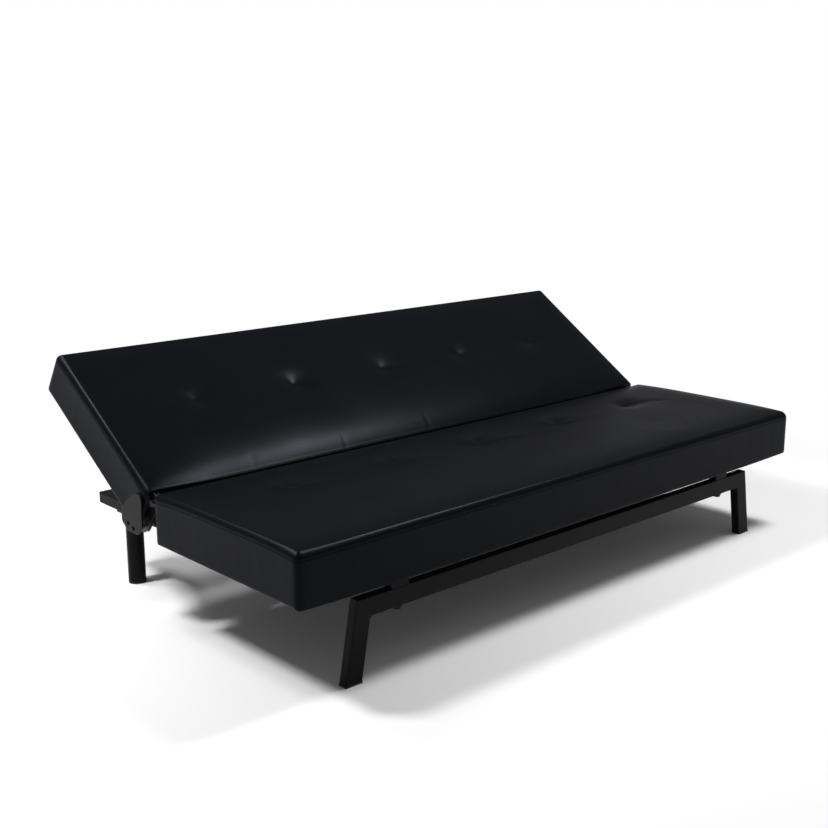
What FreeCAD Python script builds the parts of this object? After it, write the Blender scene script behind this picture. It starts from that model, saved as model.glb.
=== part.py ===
import FreeCAD, Part
import os
import Sketcher

# Click clack sofa bed: a slab seat and a slab back joined by a ratchet hinge at each end.
# A splayed tube frame carries the seat in front, and two rails with round legs carry it behind.
# Millimetres and degrees. X runs along the sofa, Y from front to rear and Z up. The origin is on
# the floor under the middle of the whole. Right means +X, and left pieces are mirrored copies.

SIZES = (
    # the two cushions
    ("cushion_width", 1800, "length of the seat and of the back, end to end"),
    ("seat_depth", 540, "seat, front face to rear face"),
    ("cushion_thick", 120, "thickness of the seat and of the back"),
    ("back_length", 495, "back, lower edge to top edge"),
    ("seat_underside", 223, "floor to the underside of the seat"),
    ("cushion_round", 16, "radius along the cushion edges"),
    ("cover_thick", 1.5, "leather cover"),
    ("hem_width", 45, "cover turned in under the frame"),
    ("cloth_thick", 0.8, "dust cloth in the hem's window"),
    ("cloth_gap", 0.3, "dust cloth to the timbers"),
    ("cloth_edge_gap", 0.5, "dust cloth to the hem"),
    ("tuft_spacing", 310, "between tufts, in both rows"),
    ("seat_tuft_row", 380, "seat front to its row of tufts"),
    ("back_tuft_row", 260, "lower edge of the back to its row of tufts"),
    ("tuft_depth", 28, "top of a tie below the cushion face"),
    ("tie_diameter", 3, "tie that pulls a tuft down"),
    ("tie_gap", 0.3, "foam around a tie"),
    # timber frames inside the cushions
    ("side_pad", 29.8, "cushion end to the seat's timber frame"),
    ("frame_inset", 20, "cushion front, rear, lower or top edge to its frame"),
    ("timber_high", 45, "height of every timber"),
    ("rail_timber_wide", 40, "width of the long timbers"),
    ("board_thick", 20, "side boards"),
    ("cross_timber_wide", 60, "cross timbers"),
    ("deck_thick", 4, "hardboard deck"),
    # front frame of flat tube
    ("tube_wall", 2, "wall of every tube"),
    ("tube_round", 3, "corners of every flat tube"),
    ("front_tube_wide", 45, "crossbar height and leg width"),
    ("front_tube_deep", 25, "crossbar and legs, front to rear"),
    ("front_set_back", 25, "seat front to the crossbar's front"),
    ("spacer_high", 32.5, "crossbar top to the seat's underside"),
    ("spacer_long", 50, "spacer block along the crossbar"),
    ("bar_half", 727, "middle to the crossbar's outer top corner"),
    ("leg_splay", 10, "front leg from upright"),
    ("spacer_offset", 605, "middle to a spacer block"),
    ("weld_leg", 7, "weld in the corner of bar and leg"),
    ("weld_inset", 3, "weld end to the tube's face"),
    ("glide_thick", 4, "plastic foot under each leg"),
    ("plug_high", 12, "glide or cap inside its tube"),
    ("plug_gap", 0.2, "plug to the tube around it"),
    # rails and rear legs
    ("rail_offset", 761, "middle to the centre of a side rail and a rear leg"),
    ("rail_wide", 60, "side rail, across"),
    ("rail_high", 30, "side rail, height"),
    ("rail_front", 75, "seat front to the rail's front end"),
    ("rail_length", 929, "side rail with both end caps"),
    ("cap_thick", 3, "rail end cap"),
    ("cap_round", 1.5, "edge of an end cap"),
    ("rear_leg_diameter", 45, "round rear leg"),
    ("rear_leg_row", 881, "seat front to the rear legs"),
    ("leg_plate_wide", 58, "plate on top of a rear leg, across"),
    ("leg_plate_long", 70, "plate on top of a rear leg, front to rear"),
    ("leg_plate_thick", 4, "plate on top of a rear leg"),
    # fasteners
    ("hole_gap", 0.3, "radial gap of a bolt in a clearance hole"),
    ("drill_gap", 0.05, "radial gap of a screw in its wood or thread"),
    ("drill_spare", 1, "drilled on past the end of a bolt"),
    ("mount_bolt", 10, "front mount bolt"),
    ("mount_bolt_length", 120, "front mount bolt under its head"),
    ("mount_flats", 17, "hexagon of a 10 mm bolt"),
    ("mount_head", 6.4, "head of a 10 mm bolt"),
    ("washer_diameter", 25, "washer under a front mount bolt"),
    ("washer_thick", 2, "washer under a front mount bolt"),
    ("insert_diameter", 14, "insert nut in the front timber"),
    ("insert_long", 20, "insert nut in the front timber"),
    ("rail_bolt", 8, "side rail bolt"),
    ("rail_bolt_length", 62, "side rail bolt under its head"),
    ("rail_flats", 13, "hexagon of an 8 mm bolt"),
    ("rail_head", 5.3, "head of an 8 mm bolt"),
    ("rail_bolt_first", 110, "seat front to the first rail bolt"),
    ("rail_bolt_second", 300, "seat front to the second rail bolt"),
    ("wood_screw", 5, "screw that holds a hinge arm"),
    ("wood_screw_length", 24, "screw that holds a hinge arm, under its head"),
    ("wood_screw_head", 10, "head diameter"),
    ("wood_screw_head_high", 2.4, "head height"),
    ("arm_screw_first", 14, "far end of a hinge arm to its first screw"),
    ("arm_screw_pitch", 40, "between the screws of a hinge arm"),
    ("nut_high", 8, "nut on a pivot or pawl bolt"),
    ("cover_screw", 5, "screw of a hinge cover"),
    ("cover_screw_head", 9.5, "head diameter"),
    ("cover_screw_head_high", 3, "head height"),
    # the hinge: where the pivot is and how far it turns
    ("pivot_above", 87, "seat underside to the pivot"),
    ("upright_gap", 7.7174, "seat rear face to the face of the back when it is fully raised"),
    ("tilt_rest", 33.5, "back from flat, as built"),
    ("tilt_upright", 70, "back from flat, fully raised"),
    ("back_gap", 3.5, "pivot to the lower edge of the back"),
    ("flat_gap", 0.5, "back to the side rails when it lies flat"),
    # the hinge: layers, from the middle of the sofa outwards
    ("layer_gap", 0.2, "between two plates that turn on each other"),
    ("cheek_thick", 2.5, "plates on the back"),
    ("arm_thick", 4, "plate on the seat"),
    ("ring_thick", 2, "release ring"),
    ("pawl_side_gap", 0.3, "pawl to the plates beside it"),
    ("run_gap", 0.05, "radial gap where a plate turns on a bolt"),
    ("pivot_bolt", 10, "pivot and pawl bolts"),
    # the hinge: teeth, pawl and ring
    ("sector_tip", 46, "radius over the teeth"),
    ("sector_from", -128, "first edge of the toothed sector"),
    ("sector_to", -42, "last edge of the toothed sector"),
    ("boss_radius", 24, "round end of the seat arm"),
    ("notch_wide", 9, "notch between teeth"),
    ("notch_deep", 6, "notch between teeth"),
    ("notch_over", 2, "notch cut past the tips of the teeth"),
    ("nose_direction", -120, "from the pivot to the pawl's nose, with the back flat"),
    ("nose_lift", 0.6, "nose above the teeth while the ring holds it"),
    ("nose_wide", 5.6, "nose of the pawl"),
    ("pawl_reach", 52, "pawl bolt to the nose, along the pawl"),
    ("ring_lift", 0.2, "land of the ring above the teeth"),
    ("ring_radius", 24, "release ring beside its land"),
    ("ring_from", -117.5, "first edge of the ring's land"),
    ("ring_to", -60, "last edge of the ring's land"),
    ("spring_post", 8, "post that carries the pawl spring"),
    ("post_before", 8, "pawl bolt to the spring's post, towards the seat"),
    ("post_below", 31, "pawl bolt to the spring's post, downwards"),
    ("spring_thick", 1.2, "leaf of the pawl spring"),
    ("spring_wide", 4, "leaf of the pawl spring"),
    # the hinge: arms on the cushions
    ("arm_wide", 40, "both arms where they are screwed on"),
    ("seat_arm_reach", 132, "seat's rear face to the front end of the seat arm"),
    ("back_arm_long", 180, "pivot to the upper end of the back arm"),
    ("back_arm_root", 80, "pivot to the spacer between the back arm's plates"),
    ("back_board_from", 50, "pivot to the side boards of the back"),
    ("cheek_round", 5, "corners of the back arm's plates"),
    ("cheek_over_boss", 1, "back arm's plates above the round end of the seat arm"),
    ("lobe_below", 43, "pawl bolt to the lower end of the back arm"),
    # pockets that the cushions leave for the hinge
    ("pocket_gap", 4.2, "cushion to the hinge plates, inwards"),
    ("pocket_out", 11.8, "cushion to the seat arm, outwards"),
    ("back_pocket_in", 9, "back cushion to the inner cheek, inwards"),
    ("pocket_end_gap", 10, "cushion to the ends of the arms"),
    ("pocket_top_gap", 4, "back cushion above the cheeks"),
    # cover over the outside of the hinge
    ("shell_gap", 0.4, "cushion end to the hinge cover"),
    ("shell_thick", 1.5, "wall of the hinge cover"),
    ("shell_deep", 4.1, "hinge cover, over all"),
    ("shell_round", 9, "corners of the hinge cover"),
    ("shell_edge", 1.2, "outer edge of the hinge cover"),
    ("sleeve_diameter", 10, "sleeve between cheek and hinge cover"),
    ("first_screw_y", 54, "pivot to the first cover screw, rearwards"),
    ("first_screw_z", -71, "pivot to the first cover screw, upwards"),
    ("second_screw_y", 77, "pivot to the second cover screw, rearwards"),
    ("second_screw_z", -63, "pivot to the second cover screw, upwards"),
)

doc = FreeCAD.newDocument("click_clack_sofa_bed")
sheet = doc.addObject("Spreadsheet::Sheet", "dims")
for row, (alias, number, meaning) in enumerate(SIZES, start=1):
    sheet.set("A%d" % row, alias)
    sheet.set("B%d" % row, str(number))
    sheet.set("C%d" % row, meaning)
    sheet.setAlias("B%d" % row, alias)
doc.recompute()

# Derived places, as expressions of the sheet. The seat's own frame has y = 0 at its front face.
HALF = "(dims.cushion_width / 2)"
SEAT_TOP = "(dims.seat_underside + dims.cushion_thick)"
TIMBER_Z = "(dims.seat_underside + dims.cover_thick)"
TIMBER_TOP = "(%s + dims.timber_high)" % TIMBER_Z
DECK_TOP = "(%s + dims.deck_thick)" % TIMBER_TOP
FRAME_HALF = "(%s - dims.side_pad)" % HALF
BOARD_IN = "(%s - dims.board_thick)" % FRAME_HALF
FRAME_REAR = "(dims.seat_depth - dims.frame_inset)"
BAR_TOP = "(dims.seat_underside - dims.spacer_high)"
BAR_LOW = "(%s - dims.front_tube_wide)" % BAR_TOP
BAR_MIDDLE = "(dims.front_set_back + dims.front_tube_deep / 2)"
RAIL_LOW = "(dims.seat_underside - dims.rail_high)"
RAIL_REAR_BOLT = "(%s - dims.rail_timber_wide / 2)" % FRAME_REAR
PLATE_LOW = "(%s - dims.leg_plate_thick)" % RAIL_LOW
PIVOT_Z = "(dims.seat_underside + dims.pivot_above)"
# The back's own frame has its origin on the pivot, y up the back and z out of its face.
BACK_Z = "(dims.flat_gap - dims.pivot_above)"
BACK_FACE = "(%s + dims.cushion_thick)" % BACK_Z
# The pivot is as far behind the seat as lets the back stand up without touching it.
PIVOT_BEHIND = (
    "(%s * sin(dims.tilt_upright) - dims.back_gap * cos(dims.tilt_upright) + dims.upright_gap)" % BACK_FACE
)
PIVOT_Y = "(dims.seat_depth + %s)" % PIVOT_BEHIND
SEAT_ARM_LONG = "(dims.seat_arm_reach + %s)" % PIVOT_BEHIND
BACK_END = "(dims.back_gap + dims.back_length)"
BACK_TIMBER_Z = "(%s + dims.cover_thick)" % BACK_Z
BACK_TIMBER_TOP = "(%s + dims.timber_high)" % BACK_TIMBER_Z
BACK_DECK_TOP = "(%s + dims.deck_thick)" % BACK_TIMBER_TOP
BACK_FRAME_FROM = "(dims.back_gap + dims.frame_inset)"
BACK_FRAME_TO = "(%s - dims.frame_inset)" % BACK_END
# Layers of the hinge, as distances from the middle of the sofa.
INNER_CHEEK_TO = "(%s - dims.layer_gap)" % FRAME_HALF
INNER_CHEEK = "(%s - dims.cheek_thick)" % INNER_CHEEK_TO
BACK_BOARD_IN = "(%s - dims.board_thick)" % INNER_CHEEK
ARM_TO = "(%s + dims.arm_thick)" % FRAME_HALF
RING = "(%s + dims.layer_gap)" % ARM_TO
RING_TO = "(%s + dims.ring_thick)" % RING
OUTER_CHEEK = "(%s + dims.layer_gap)" % RING_TO
OUTER_CHEEK_TO = "(%s + dims.cheek_thick)" % OUTER_CHEEK
SHELL = "(%s + dims.shell_gap)" % HALF
SHELL_TO = "(%s + dims.shell_deep)" % SHELL
POCKET_IN = "(%s - dims.pocket_gap)" % FRAME_HALF
POCKET_TO = "(%s + dims.pocket_out)" % ARM_TO
BACK_POCKET_IN = "(%s - dims.back_pocket_in)" % INNER_CHEEK
# The pawl lies at right angles to the line from the pivot to its nose.
PAWL_TURN = "(dims.nose_direction - 90)"
PIN_Y = "(-dims.pawl_reach * cos(%s) + dims.sector_tip * cos(dims.nose_direction))" % PAWL_TURN
PIN_Z = "(-dims.pawl_reach * sin(%s) + dims.sector_tip * sin(dims.nose_direction))" % PAWL_TURN
# Rearmost line of the rounded top edge, which is how deep the sofa is as built.
REAR = (
    "(%s + (%s - dims.cushion_round) * cos(dims.tilt_rest)"
    " - (%s + dims.cushion_round) * sin(dims.tilt_rest) + dims.cushion_round)" % (PIVOT_Y, BACK_END, BACK_Z)
)
FRONT = "(-%s / 2)" % REAR

X_AXIS = FreeCAD.Vector(1, 0, 0)
Y_AXIS = FreeCAD.Vector(0, 1, 0)
Z_AXIS = FreeCAD.Vector(0, 0, 1)
HEXAGON = 6
HEXAGON_HALF_SIDE = 30
QUARTER = 90
PIE_SIDES = 5
SEAT_TUFTS = 5
BACK_TUFTS = 5
ARM_SCREWS = 3
DIRECTION_SLACK = 1e-6
PLACE_SLACK = 1e-4
# A rotation keeps its axis only while its angle isn't zero; the sheet then sets the angle.
ANY_ANGLE = 1

subparts = []


def value(expression):
    """The number that an expression of the sheet has now."""
    return float(sheet.evalExpression(expression))


def minus(expression):
    return "(-%s)" % expression


def turned(along, up, angle):
    """Both coordinates of a point turned about the origin, as expressions."""
    first = "((%s) * cos(%s) - (%s) * sin(%s))" % (along, angle, up, angle)
    second = "((%s) * sin(%s) + (%s) * cos(%s))" % (along, angle, up, angle)
    return first, second


def bind(item, **expressions):
    for name, expression in expressions.items():
        item.setExpression(name.replace("__", "."), expression)
    return item


def base_at(item, x="0", y="0", z="0"):
    return bind(item, Placement__Base__x=x, Placement__Base__y=y, Placement__Base__z=z)


# Sketches, pads and pockets

def add_vertex_sizes(sketch, geometry, corner, point):
    """Ties one sketch point to its two expressions, measured from the sketch's origin."""
    for kind, expression in zip(("DistanceX", "DistanceY"), point):
        number = float(sketch.evalExpression(expression))
        index = sketch.addConstraint(Sketcher.Constraint(kind, -1, 1, geometry, corner, number))
        sketch.setExpression("Constraints[%d]" % index, expression)


def add_outline(sketch, points):
    """A closed outline of straight lines through points given as pairs of expressions."""
    corners = [
        FreeCAD.Vector(float(sketch.evalExpression(along)), float(sketch.evalExpression(up)), 0)
        for along, up in points
    ]
    first = sketch.GeometryCount
    count = len(corners)
    for step in range(count):
        sketch.addGeometry(Part.LineSegment(corners[step], corners[(step + 1) % count]), False)
    for step in range(count):
        following = first + (step + 1) % count
        sketch.addConstraint(Sketcher.Constraint("Coincident", first + step, 2, following, 1))
    for step in range(count):
        add_vertex_sizes(sketch, first + step, 1, points[step])


def add_circle(sketch, centre, radius):
    along, up = [float(sketch.evalExpression(part)) for part in centre]
    number = float(sketch.evalExpression(radius))
    index = sketch.addGeometry(Part.Circle(FreeCAD.Vector(along, up, 0), Z_AXIS, number), False)
    add_vertex_sizes(sketch, index, 3, centre)
    size = sketch.addConstraint(Sketcher.Constraint("Radius", index, number))
    sketch.setExpression("Constraints[%d]" % size, radius)


def new_body(name):
    return doc.addObject("PartDesign::Body", name)


def new_sketch(body, plane, outlines=(), circles=(), offset="0", turn="0", centre=("0", "0")):
    """A sketch on one of the body's own planes, moved along X, Y or Z by the offset."""
    sketch = body.newObject("Sketcher::SketchObject", body.Name + "_sketch")
    support = [part for part in body.Origin.OriginFeatures if part.Role == plane][0]
    sketch.AttachmentSupport = [(support, "")]
    sketch.MapMode = "FlatFace"
    along_normal = minus(offset) if plane == "XZ_Plane" else offset
    sketch.AttachmentOffset = FreeCAD.Placement(FreeCAD.Vector(), FreeCAD.Rotation(Z_AXIS, ANY_ANGLE))
    bind(
        sketch,
        AttachmentOffset__Base__x=centre[0],
        AttachmentOffset__Base__y=centre[1],
        AttachmentOffset__Base__z=along_normal,
        AttachmentOffset__Rotation__Angle=turn,
    )
    for points in outlines:
        add_outline(sketch, points)
    for middle, radius in circles:
        add_circle(sketch, middle, radius)
    return sketch


def pad(body, plane, length, outlines=(), circles=(), offset="0", turn="0", centre=("0", "0")):
    """Pads outlines, less any inside them, from the offset towards +X, +Y or +Z."""
    feature = body.newObject("PartDesign::Pad", body.Name + "_pad")
    feature.Profile = new_sketch(body, plane, outlines, circles, offset, turn, centre)
    feature.Reversed = plane == "XZ_Plane"
    bind(feature, Length=length)
    doc.recompute()
    return feature


def pocket(body, plane, outlines=(), circles=(), offset="0", turn="0", centre=("0", "0"), depth=None):
    """Cuts both ways from the offset, right through unless a whole depth is given."""
    before = body.Shape.Volume
    feature = body.newObject("PartDesign::Pocket", body.Name + "_pocket")
    feature.Profile = new_sketch(body, plane, outlines, circles, offset, turn, centre)
    feature.Midplane = True
    if depth is None:
        feature.Type = "ThroughAll"
    else:
        bind(feature, Length=depth)
    doc.recompute()
    if feature.Shape.Volume >= before:
        raise RuntimeError(body.Name + ": a pocket removed nothing")
    return feature


def fillet(body, radius, picks):
    """Rounds the body's edges for which picks(edge) holds."""
    base = body.Tip
    names = ["Edge%d" % index for index, edge in enumerate(base.Shape.Edges, start=1) if picks(edge)]
    feature = body.newObject("PartDesign::Fillet", body.Name + "_fillet")
    feature.Base = (base, names)
    bind(feature, Radius=radius)
    doc.recompute()
    return feature


def along(direction):
    """Picks straight edges that run along a direction."""

    def picks(edge):
        first, last = edge.Vertexes[0].Point, edge.Vertexes[-1].Point
        straight = edge.Curve.TypeId == "Part::GeomLine"
        return straight and (last - first).cross(direction).Length < DIRECTION_SLACK * edge.Length

    return picks


def lying_at(direction, place):
    """Picks edges that lie in the plane square to a direction at a place along it."""

    def picks(edge):
        points = [edge.valueAt(edge.FirstParameter), edge.valueAt(edge.LastParameter)]
        return all(abs(point.dot(direction) - place) < PLACE_SLACK for point in points)

    return picks


def rectangle(along_from, along_to, up_from, up_to):
    return [(along_from, up_from), (along_to, up_from), (along_to, up_to), (along_from, up_to)]


def pie(body, offset, length, radius, start, end):
    """A sector of a disc in the hinge's plane, between two directions from the pivot."""
    pad(body, "YZ_Plane", length, circles=[(("0", "0"), radius)], offset=offset)
    far = "(2 * %s)" % radius
    away = [("0", "0")]
    for step in range(PIE_SIDES + 1):
        angle = "(%s + (360 + %s - %s) * %d / %d)" % (end, start, end, step, PIE_SIDES)
        away.append(turned(far, "0", angle))
    pocket(body, "YZ_Plane", outlines=[away], offset=offset)


# Primitives and booleans

def box(name, x, y, z):
    """A block between two expressions along each axis."""
    item = doc.addObject("Part::Box", name)
    base_at(item, x[0], y[0], z[0])
    lengths = ["%s - %s" % (span[1], span[0]) for span in (x, y, z)]
    return bind(item, Length=lengths[0], Width=lengths[1], Height=lengths[2])


def rod(name, radius, length, at, axis="up"):
    """A cylinder from a point upwards, or along +X (out) or -X (in)."""
    item = doc.addObject("Part::Cylinder", name)
    bind(item, Radius=radius, Height=length)
    return aimed(item, at, axis)


def aimed(item, at, axis):
    turns = {"up": 0, "out": QUARTER, "in": -QUARTER}
    item.Placement = FreeCAD.Placement(FreeCAD.Vector(), FreeCAD.Rotation(Y_AXIS, turns[axis]))
    return base_at(item, *at)


def hexagon(name, flats, height, below):
    item = doc.addObject("Part::Prism", name)
    item.Polygon = HEXAGON
    bind(item, Circumradius="%s / 2 / cos(%d)" % (flats, HEXAGON_HALF_SIDE), Height=height)
    return base_at(item, z=below)


def fuse(name, pieces):
    item = doc.addObject("Part::MultiFuse", name)
    item.Shapes = pieces
    return item


def cut(name, base, tools):
    item = doc.addObject("Part::Cut", name)
    item.Base = base
    item.Tool = tools[0] if len(tools) == 1 else fuse(name + "_tools", tools)
    return item


def group(name, pieces):
    item = doc.addObject("Part::Compound", name)
    item.Links = pieces
    return item


def mirrored(piece):
    item = doc.addObject("Part::Mirroring", piece.Name + "_mirrored")
    item.Source = piece
    item.Normal = X_AXIS
    return item


def with_mirror(name, pieces):
    return group(name, list(pieces) + [mirrored(piece) for piece in pieces])


def hex_bolt(name, diameter, length, flats, head, at, axis):
    """A bolt whose head rests on the point and whose shank runs along the axis."""
    shank = rod(name + "_shank", diameter + " / 2", length, ("0", "0", "0"))
    crown = hexagon(name + "_head", flats, head, minus(head))
    return aimed(fuse(name, [shank, crown]), at, axis)


def pan_screw(name, diameter, length, head, head_high, at, axis):
    shank = rod(name + "_shank", diameter + " / 2", length, ("0", "0", "0"))
    crown = rod(name + "_head", head + " / 2", head_high, ("0", "0", minus(head_high)))
    return aimed(fuse(name, [shank, crown]), at, axis)


def slab(name, x_half, y, z, radius):
    """A block with all its edges rounded, the outer or inner shape of a cushion's cover."""
    body = new_body(name)
    outline = rectangle(minus(x_half), x_half, y[0], y[1])
    pad(body, "XY_Plane", "%s - %s" % (z[1], z[0]), outlines=[outline], offset=z[0])
    fillet(body, radius, lambda edge: True)
    return body


# Where each sub-part goes

def keep(item, label, frame):
    """Names a sub-part and puts it in the seat's, the hinge's or the back's own frame."""
    if item.TypeId == "Part::Box":
        item = group(label + "_group", [item])
    item.Label = label
    subparts.append(item)
    if frame == "mirrored":
        return item
    y = {"seat": FRONT, "hinge": "%s + %s" % (FRONT, PIVOT_Y), "back": "%s + %s" % (FRONT, PIVOT_Y)}[frame]
    z = {"seat": "0", "hinge": PIVOT_Z, "back": PIVOT_Z}[frame]
    if frame == "back":
        item.Placement = FreeCAD.Placement(FreeCAD.Vector(), FreeCAD.Rotation(X_AXIS, ANY_ANGLE))
        bind(item, Placement__Rotation__Angle="dims.tilt_rest")
    return base_at(item, y=y, z=z)


def keep_sides(item, label, frame):
    """The right-hand piece and its mirrored left-hand twin, as two sub-parts."""
    keep(item, label + "_right", frame)
    keep(mirrored(item), label + "_left", "mirrored")


# Front frame: a crossbar with a splayed leg at each end, mitred and welded together

def front_frame():
    wall = "dims.tube_wall"
    deep = "dims.front_tube_deep"
    slope = "tan(dims.leg_splay)"
    wide = "(dims.front_tube_wide / cos(dims.leg_splay))"
    side = "(dims.tube_wall / cos(dims.leg_splay))"
    plug_side = "((dims.tube_wall + dims.plug_gap) / cos(dims.leg_splay))"
    rear = "(dims.front_set_back + %s)" % deep

    def outer(z):
        return "(dims.bar_half + (%s - %s) * %s)" % (BAR_TOP, z, slope)

    def leg_points(low, high, inset="0"):
        return [
            ("%s - %s" % (outer(low), inset), low),
            ("%s - %s" % (outer(high), inset), high),
            ("%s - %s + %s" % (outer(high), wide, inset), high),
            ("%s - %s + %s" % (outer(low), wide, inset), low),
        ]

    corner = "(%s - %s)" % (outer(BAR_LOW), wide)
    hole = "(dims.mount_bolt / 2 + dims.hole_gap)"
    bolt_spots = [("dims.spacer_offset", BAR_MIDDLE), ("-dims.spacer_offset", BAR_MIDDLE)]

    bar = new_body("front_crossbar")
    skin = rectangle("dims.front_set_back", rear, BAR_LOW, BAR_TOP)
    hollow = rectangle(
        "dims.front_set_back + " + wall, rear + " - " + wall, BAR_LOW + " + " + wall, BAR_TOP + " - " + wall
    )
    pad(bar, "YZ_Plane", "2 * dims.bar_half", outlines=[skin, hollow], offset="-dims.bar_half")
    fillet(bar, "dims.tube_round", along(X_AXIS))
    mitre = [("dims.bar_half", BAR_TOP), (corner, BAR_LOW), ("dims.bar_half", BAR_LOW)]
    pocket(bar, "XZ_Plane", outlines=[mitre, [(minus(x), z) for x, z in mitre]])
    pocket(bar, "XY_Plane", circles=[(spot, hole) for spot in bolt_spots])
    keep(bar, "front_crossbar", "seat")

    leg = new_body("front_leg")
    silhouette = [
        (outer("dims.glide_thick"), "dims.glide_thick"),
        ("dims.bar_half", BAR_TOP),
        (corner, BAR_LOW),
        ("%s - %s" % (outer("dims.glide_thick"), wide), "dims.glide_thick"),
    ]
    pad(leg, "XZ_Plane", deep, outlines=[silhouette], offset="dims.front_set_back")
    fillet(leg, "dims.tube_round", along(FreeCAD.Vector(value(slope), 0, -1)))
    bore = leg_points("0", BAR_TOP, side)
    pocket(leg, "XZ_Plane", outlines=[bore], offset=BAR_MIDDLE, depth="%s - 2 * %s" % (deep, wall))
    keep_sides(leg, "front_leg", "seat")

    glide = new_body("front_glide")
    foot = leg_points("0", "dims.glide_thick")
    pad(glide, "XZ_Plane", deep, outlines=[foot], offset="dims.front_set_back")
    plug = leg_points("dims.glide_thick", "(dims.glide_thick + dims.plug_high)", plug_side)
    plug_front = "dims.front_set_back + %s + dims.plug_gap" % wall
    plug_deep = "%s - 2 * (%s + dims.plug_gap)" % (deep, wall)
    pad(glide, "XZ_Plane", plug_deep, outlines=[plug], offset="(%s)" % plug_front)
    keep(with_mirror("front_leg_glides", [glide]), "front_leg_glides", "seat")

    weld = new_body("front_weld")
    down_leg = turned("dims.weld_leg", "0", "(dims.leg_splay - 90)")
    bead = [
        (corner, BAR_LOW),
        ("%s - dims.weld_leg" % corner, BAR_LOW),
        ("%s + %s" % (corner, down_leg[0]), "%s + %s" % (BAR_LOW, down_leg[1])),
    ]
    bead_front = "(dims.front_set_back + dims.weld_inset)"
    pad(weld, "XZ_Plane", deep + " - 2 * dims.weld_inset", outlines=[bead], offset=bead_front)
    keep(with_mirror("front_frame_welds", [weld]), "front_frame_welds", "seat")

    spacer = new_body("front_spacer")
    half_long = "dims.spacer_long / 2"
    plan = rectangle(
        "dims.spacer_offset - " + half_long, "dims.spacer_offset + " + half_long, "dims.front_set_back", rear
    )
    spot = bolt_spots[0]
    pad(spacer, "XY_Plane", "dims.spacer_high", outlines=[plan], circles=[(spot, hole)], offset=BAR_TOP)
    keep(with_mirror("front_spacers", [spacer]), "front_spacers", "seat")

    seat_plane = "(%s - dims.washer_thick)" % BAR_LOW
    washer = new_body("front_washer")
    rings = [(spot, "dims.washer_diameter / 2"), (spot, hole)]
    pad(washer, "XY_Plane", "dims.washer_thick", circles=rings, offset=seat_plane)
    keep(with_mirror("front_mount_washers", [washer]), "front_mount_washers", "seat")

    bolt = hex_bolt(
        "front_bolt", "dims.mount_bolt", "dims.mount_bolt_length", "dims.mount_flats", "dims.mount_head",
        (spot[0], spot[1], seat_plane), "up",
    )
    keep(with_mirror("front_mount_bolts", [bolt]), "front_mount_bolts", "seat")

    insert = new_body("front_insert")
    rings = [(spot, "dims.insert_diameter / 2"), (spot, "dims.mount_bolt / 2 + dims.drill_gap")]
    pad(insert, "XY_Plane", "dims.insert_long", circles=rings, offset=TIMBER_Z)
    keep(with_mirror("front_mount_nuts", [insert]), "front_mount_nuts", "seat")


# Side rails: flat tubes under the seat that run on behind it, where the back lands when flat

def side_rails():
    wall = "dims.tube_wall"
    inner = "(dims.rail_offset - dims.rail_wide / 2)"
    outer = "(dims.rail_offset + dims.rail_wide / 2)"
    rear = "(dims.rail_front + dims.rail_length)"
    bolts = ["dims.rail_bolt_first", "dims.rail_bolt_second", RAIL_REAR_BOLT]

    rail = new_body("side_rail")
    skin = rectangle(inner, outer, RAIL_LOW, "dims.seat_underside")
    hollow = rectangle(
        inner + " + " + wall, outer + " - " + wall, RAIL_LOW + " + " + wall, "dims.seat_underside - " + wall
    )
    tube_long = "dims.rail_length - 2 * dims.cap_thick"
    tube_front = "(dims.rail_front + dims.cap_thick)"
    pad(rail, "XZ_Plane", tube_long, outlines=[skin, hollow], offset=tube_front)
    fillet(rail, "dims.tube_round", along(Y_AXIS))
    hole = "dims.rail_bolt / 2 + dims.hole_gap"
    pocket(rail, "XY_Plane", circles=[(("dims.rail_offset", y), hole) for y in bolts])
    keep_sides(rail, "side_rail", "seat")

    inset = "(%s + dims.plug_gap)" % wall
    plug_plan = rectangle(
        inner + " + " + inset, outer + " - " + inset,
        RAIL_LOW + " + " + inset, "dims.seat_underside - " + inset,
    )
    caps = []
    for name, plate_from, plug_from, face in (
        ("front_cap", "dims.rail_front", tube_front, "dims.rail_front"),
        ("rear_cap", "(%s - dims.cap_thick)" % rear, "(%s - dims.cap_thick - dims.plug_high)" % rear, rear),
    ):
        cap = new_body(name)
        pad(cap, "XZ_Plane", "dims.cap_thick", outlines=[skin], offset=plate_from)
        pad(cap, "XZ_Plane", "dims.plug_high", outlines=[plug_plan], offset=plug_from)
        fillet(cap, "dims.tube_round", along(Y_AXIS))
        fillet(cap, "dims.cap_round", lying_at(Y_AXIS, value(face)))
        caps.append(cap)
    keep(with_mirror("rail_end_caps", caps), "rail_end_caps", "seat")

    bolt_pieces = []
    for index, y in enumerate(bolts):
        bolt_pieces.append(hex_bolt(
            "rail_bolt_%d" % index, "dims.rail_bolt", "dims.rail_bolt_length", "dims.rail_flats",
            "dims.rail_head", ("dims.rail_offset", y, RAIL_LOW), "up",
        ))
    keep(with_mirror("rail_bolts", bolt_pieces), "rail_bolts", "seat")


# Rear legs: round tube with a plate welded under the side rail

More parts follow.
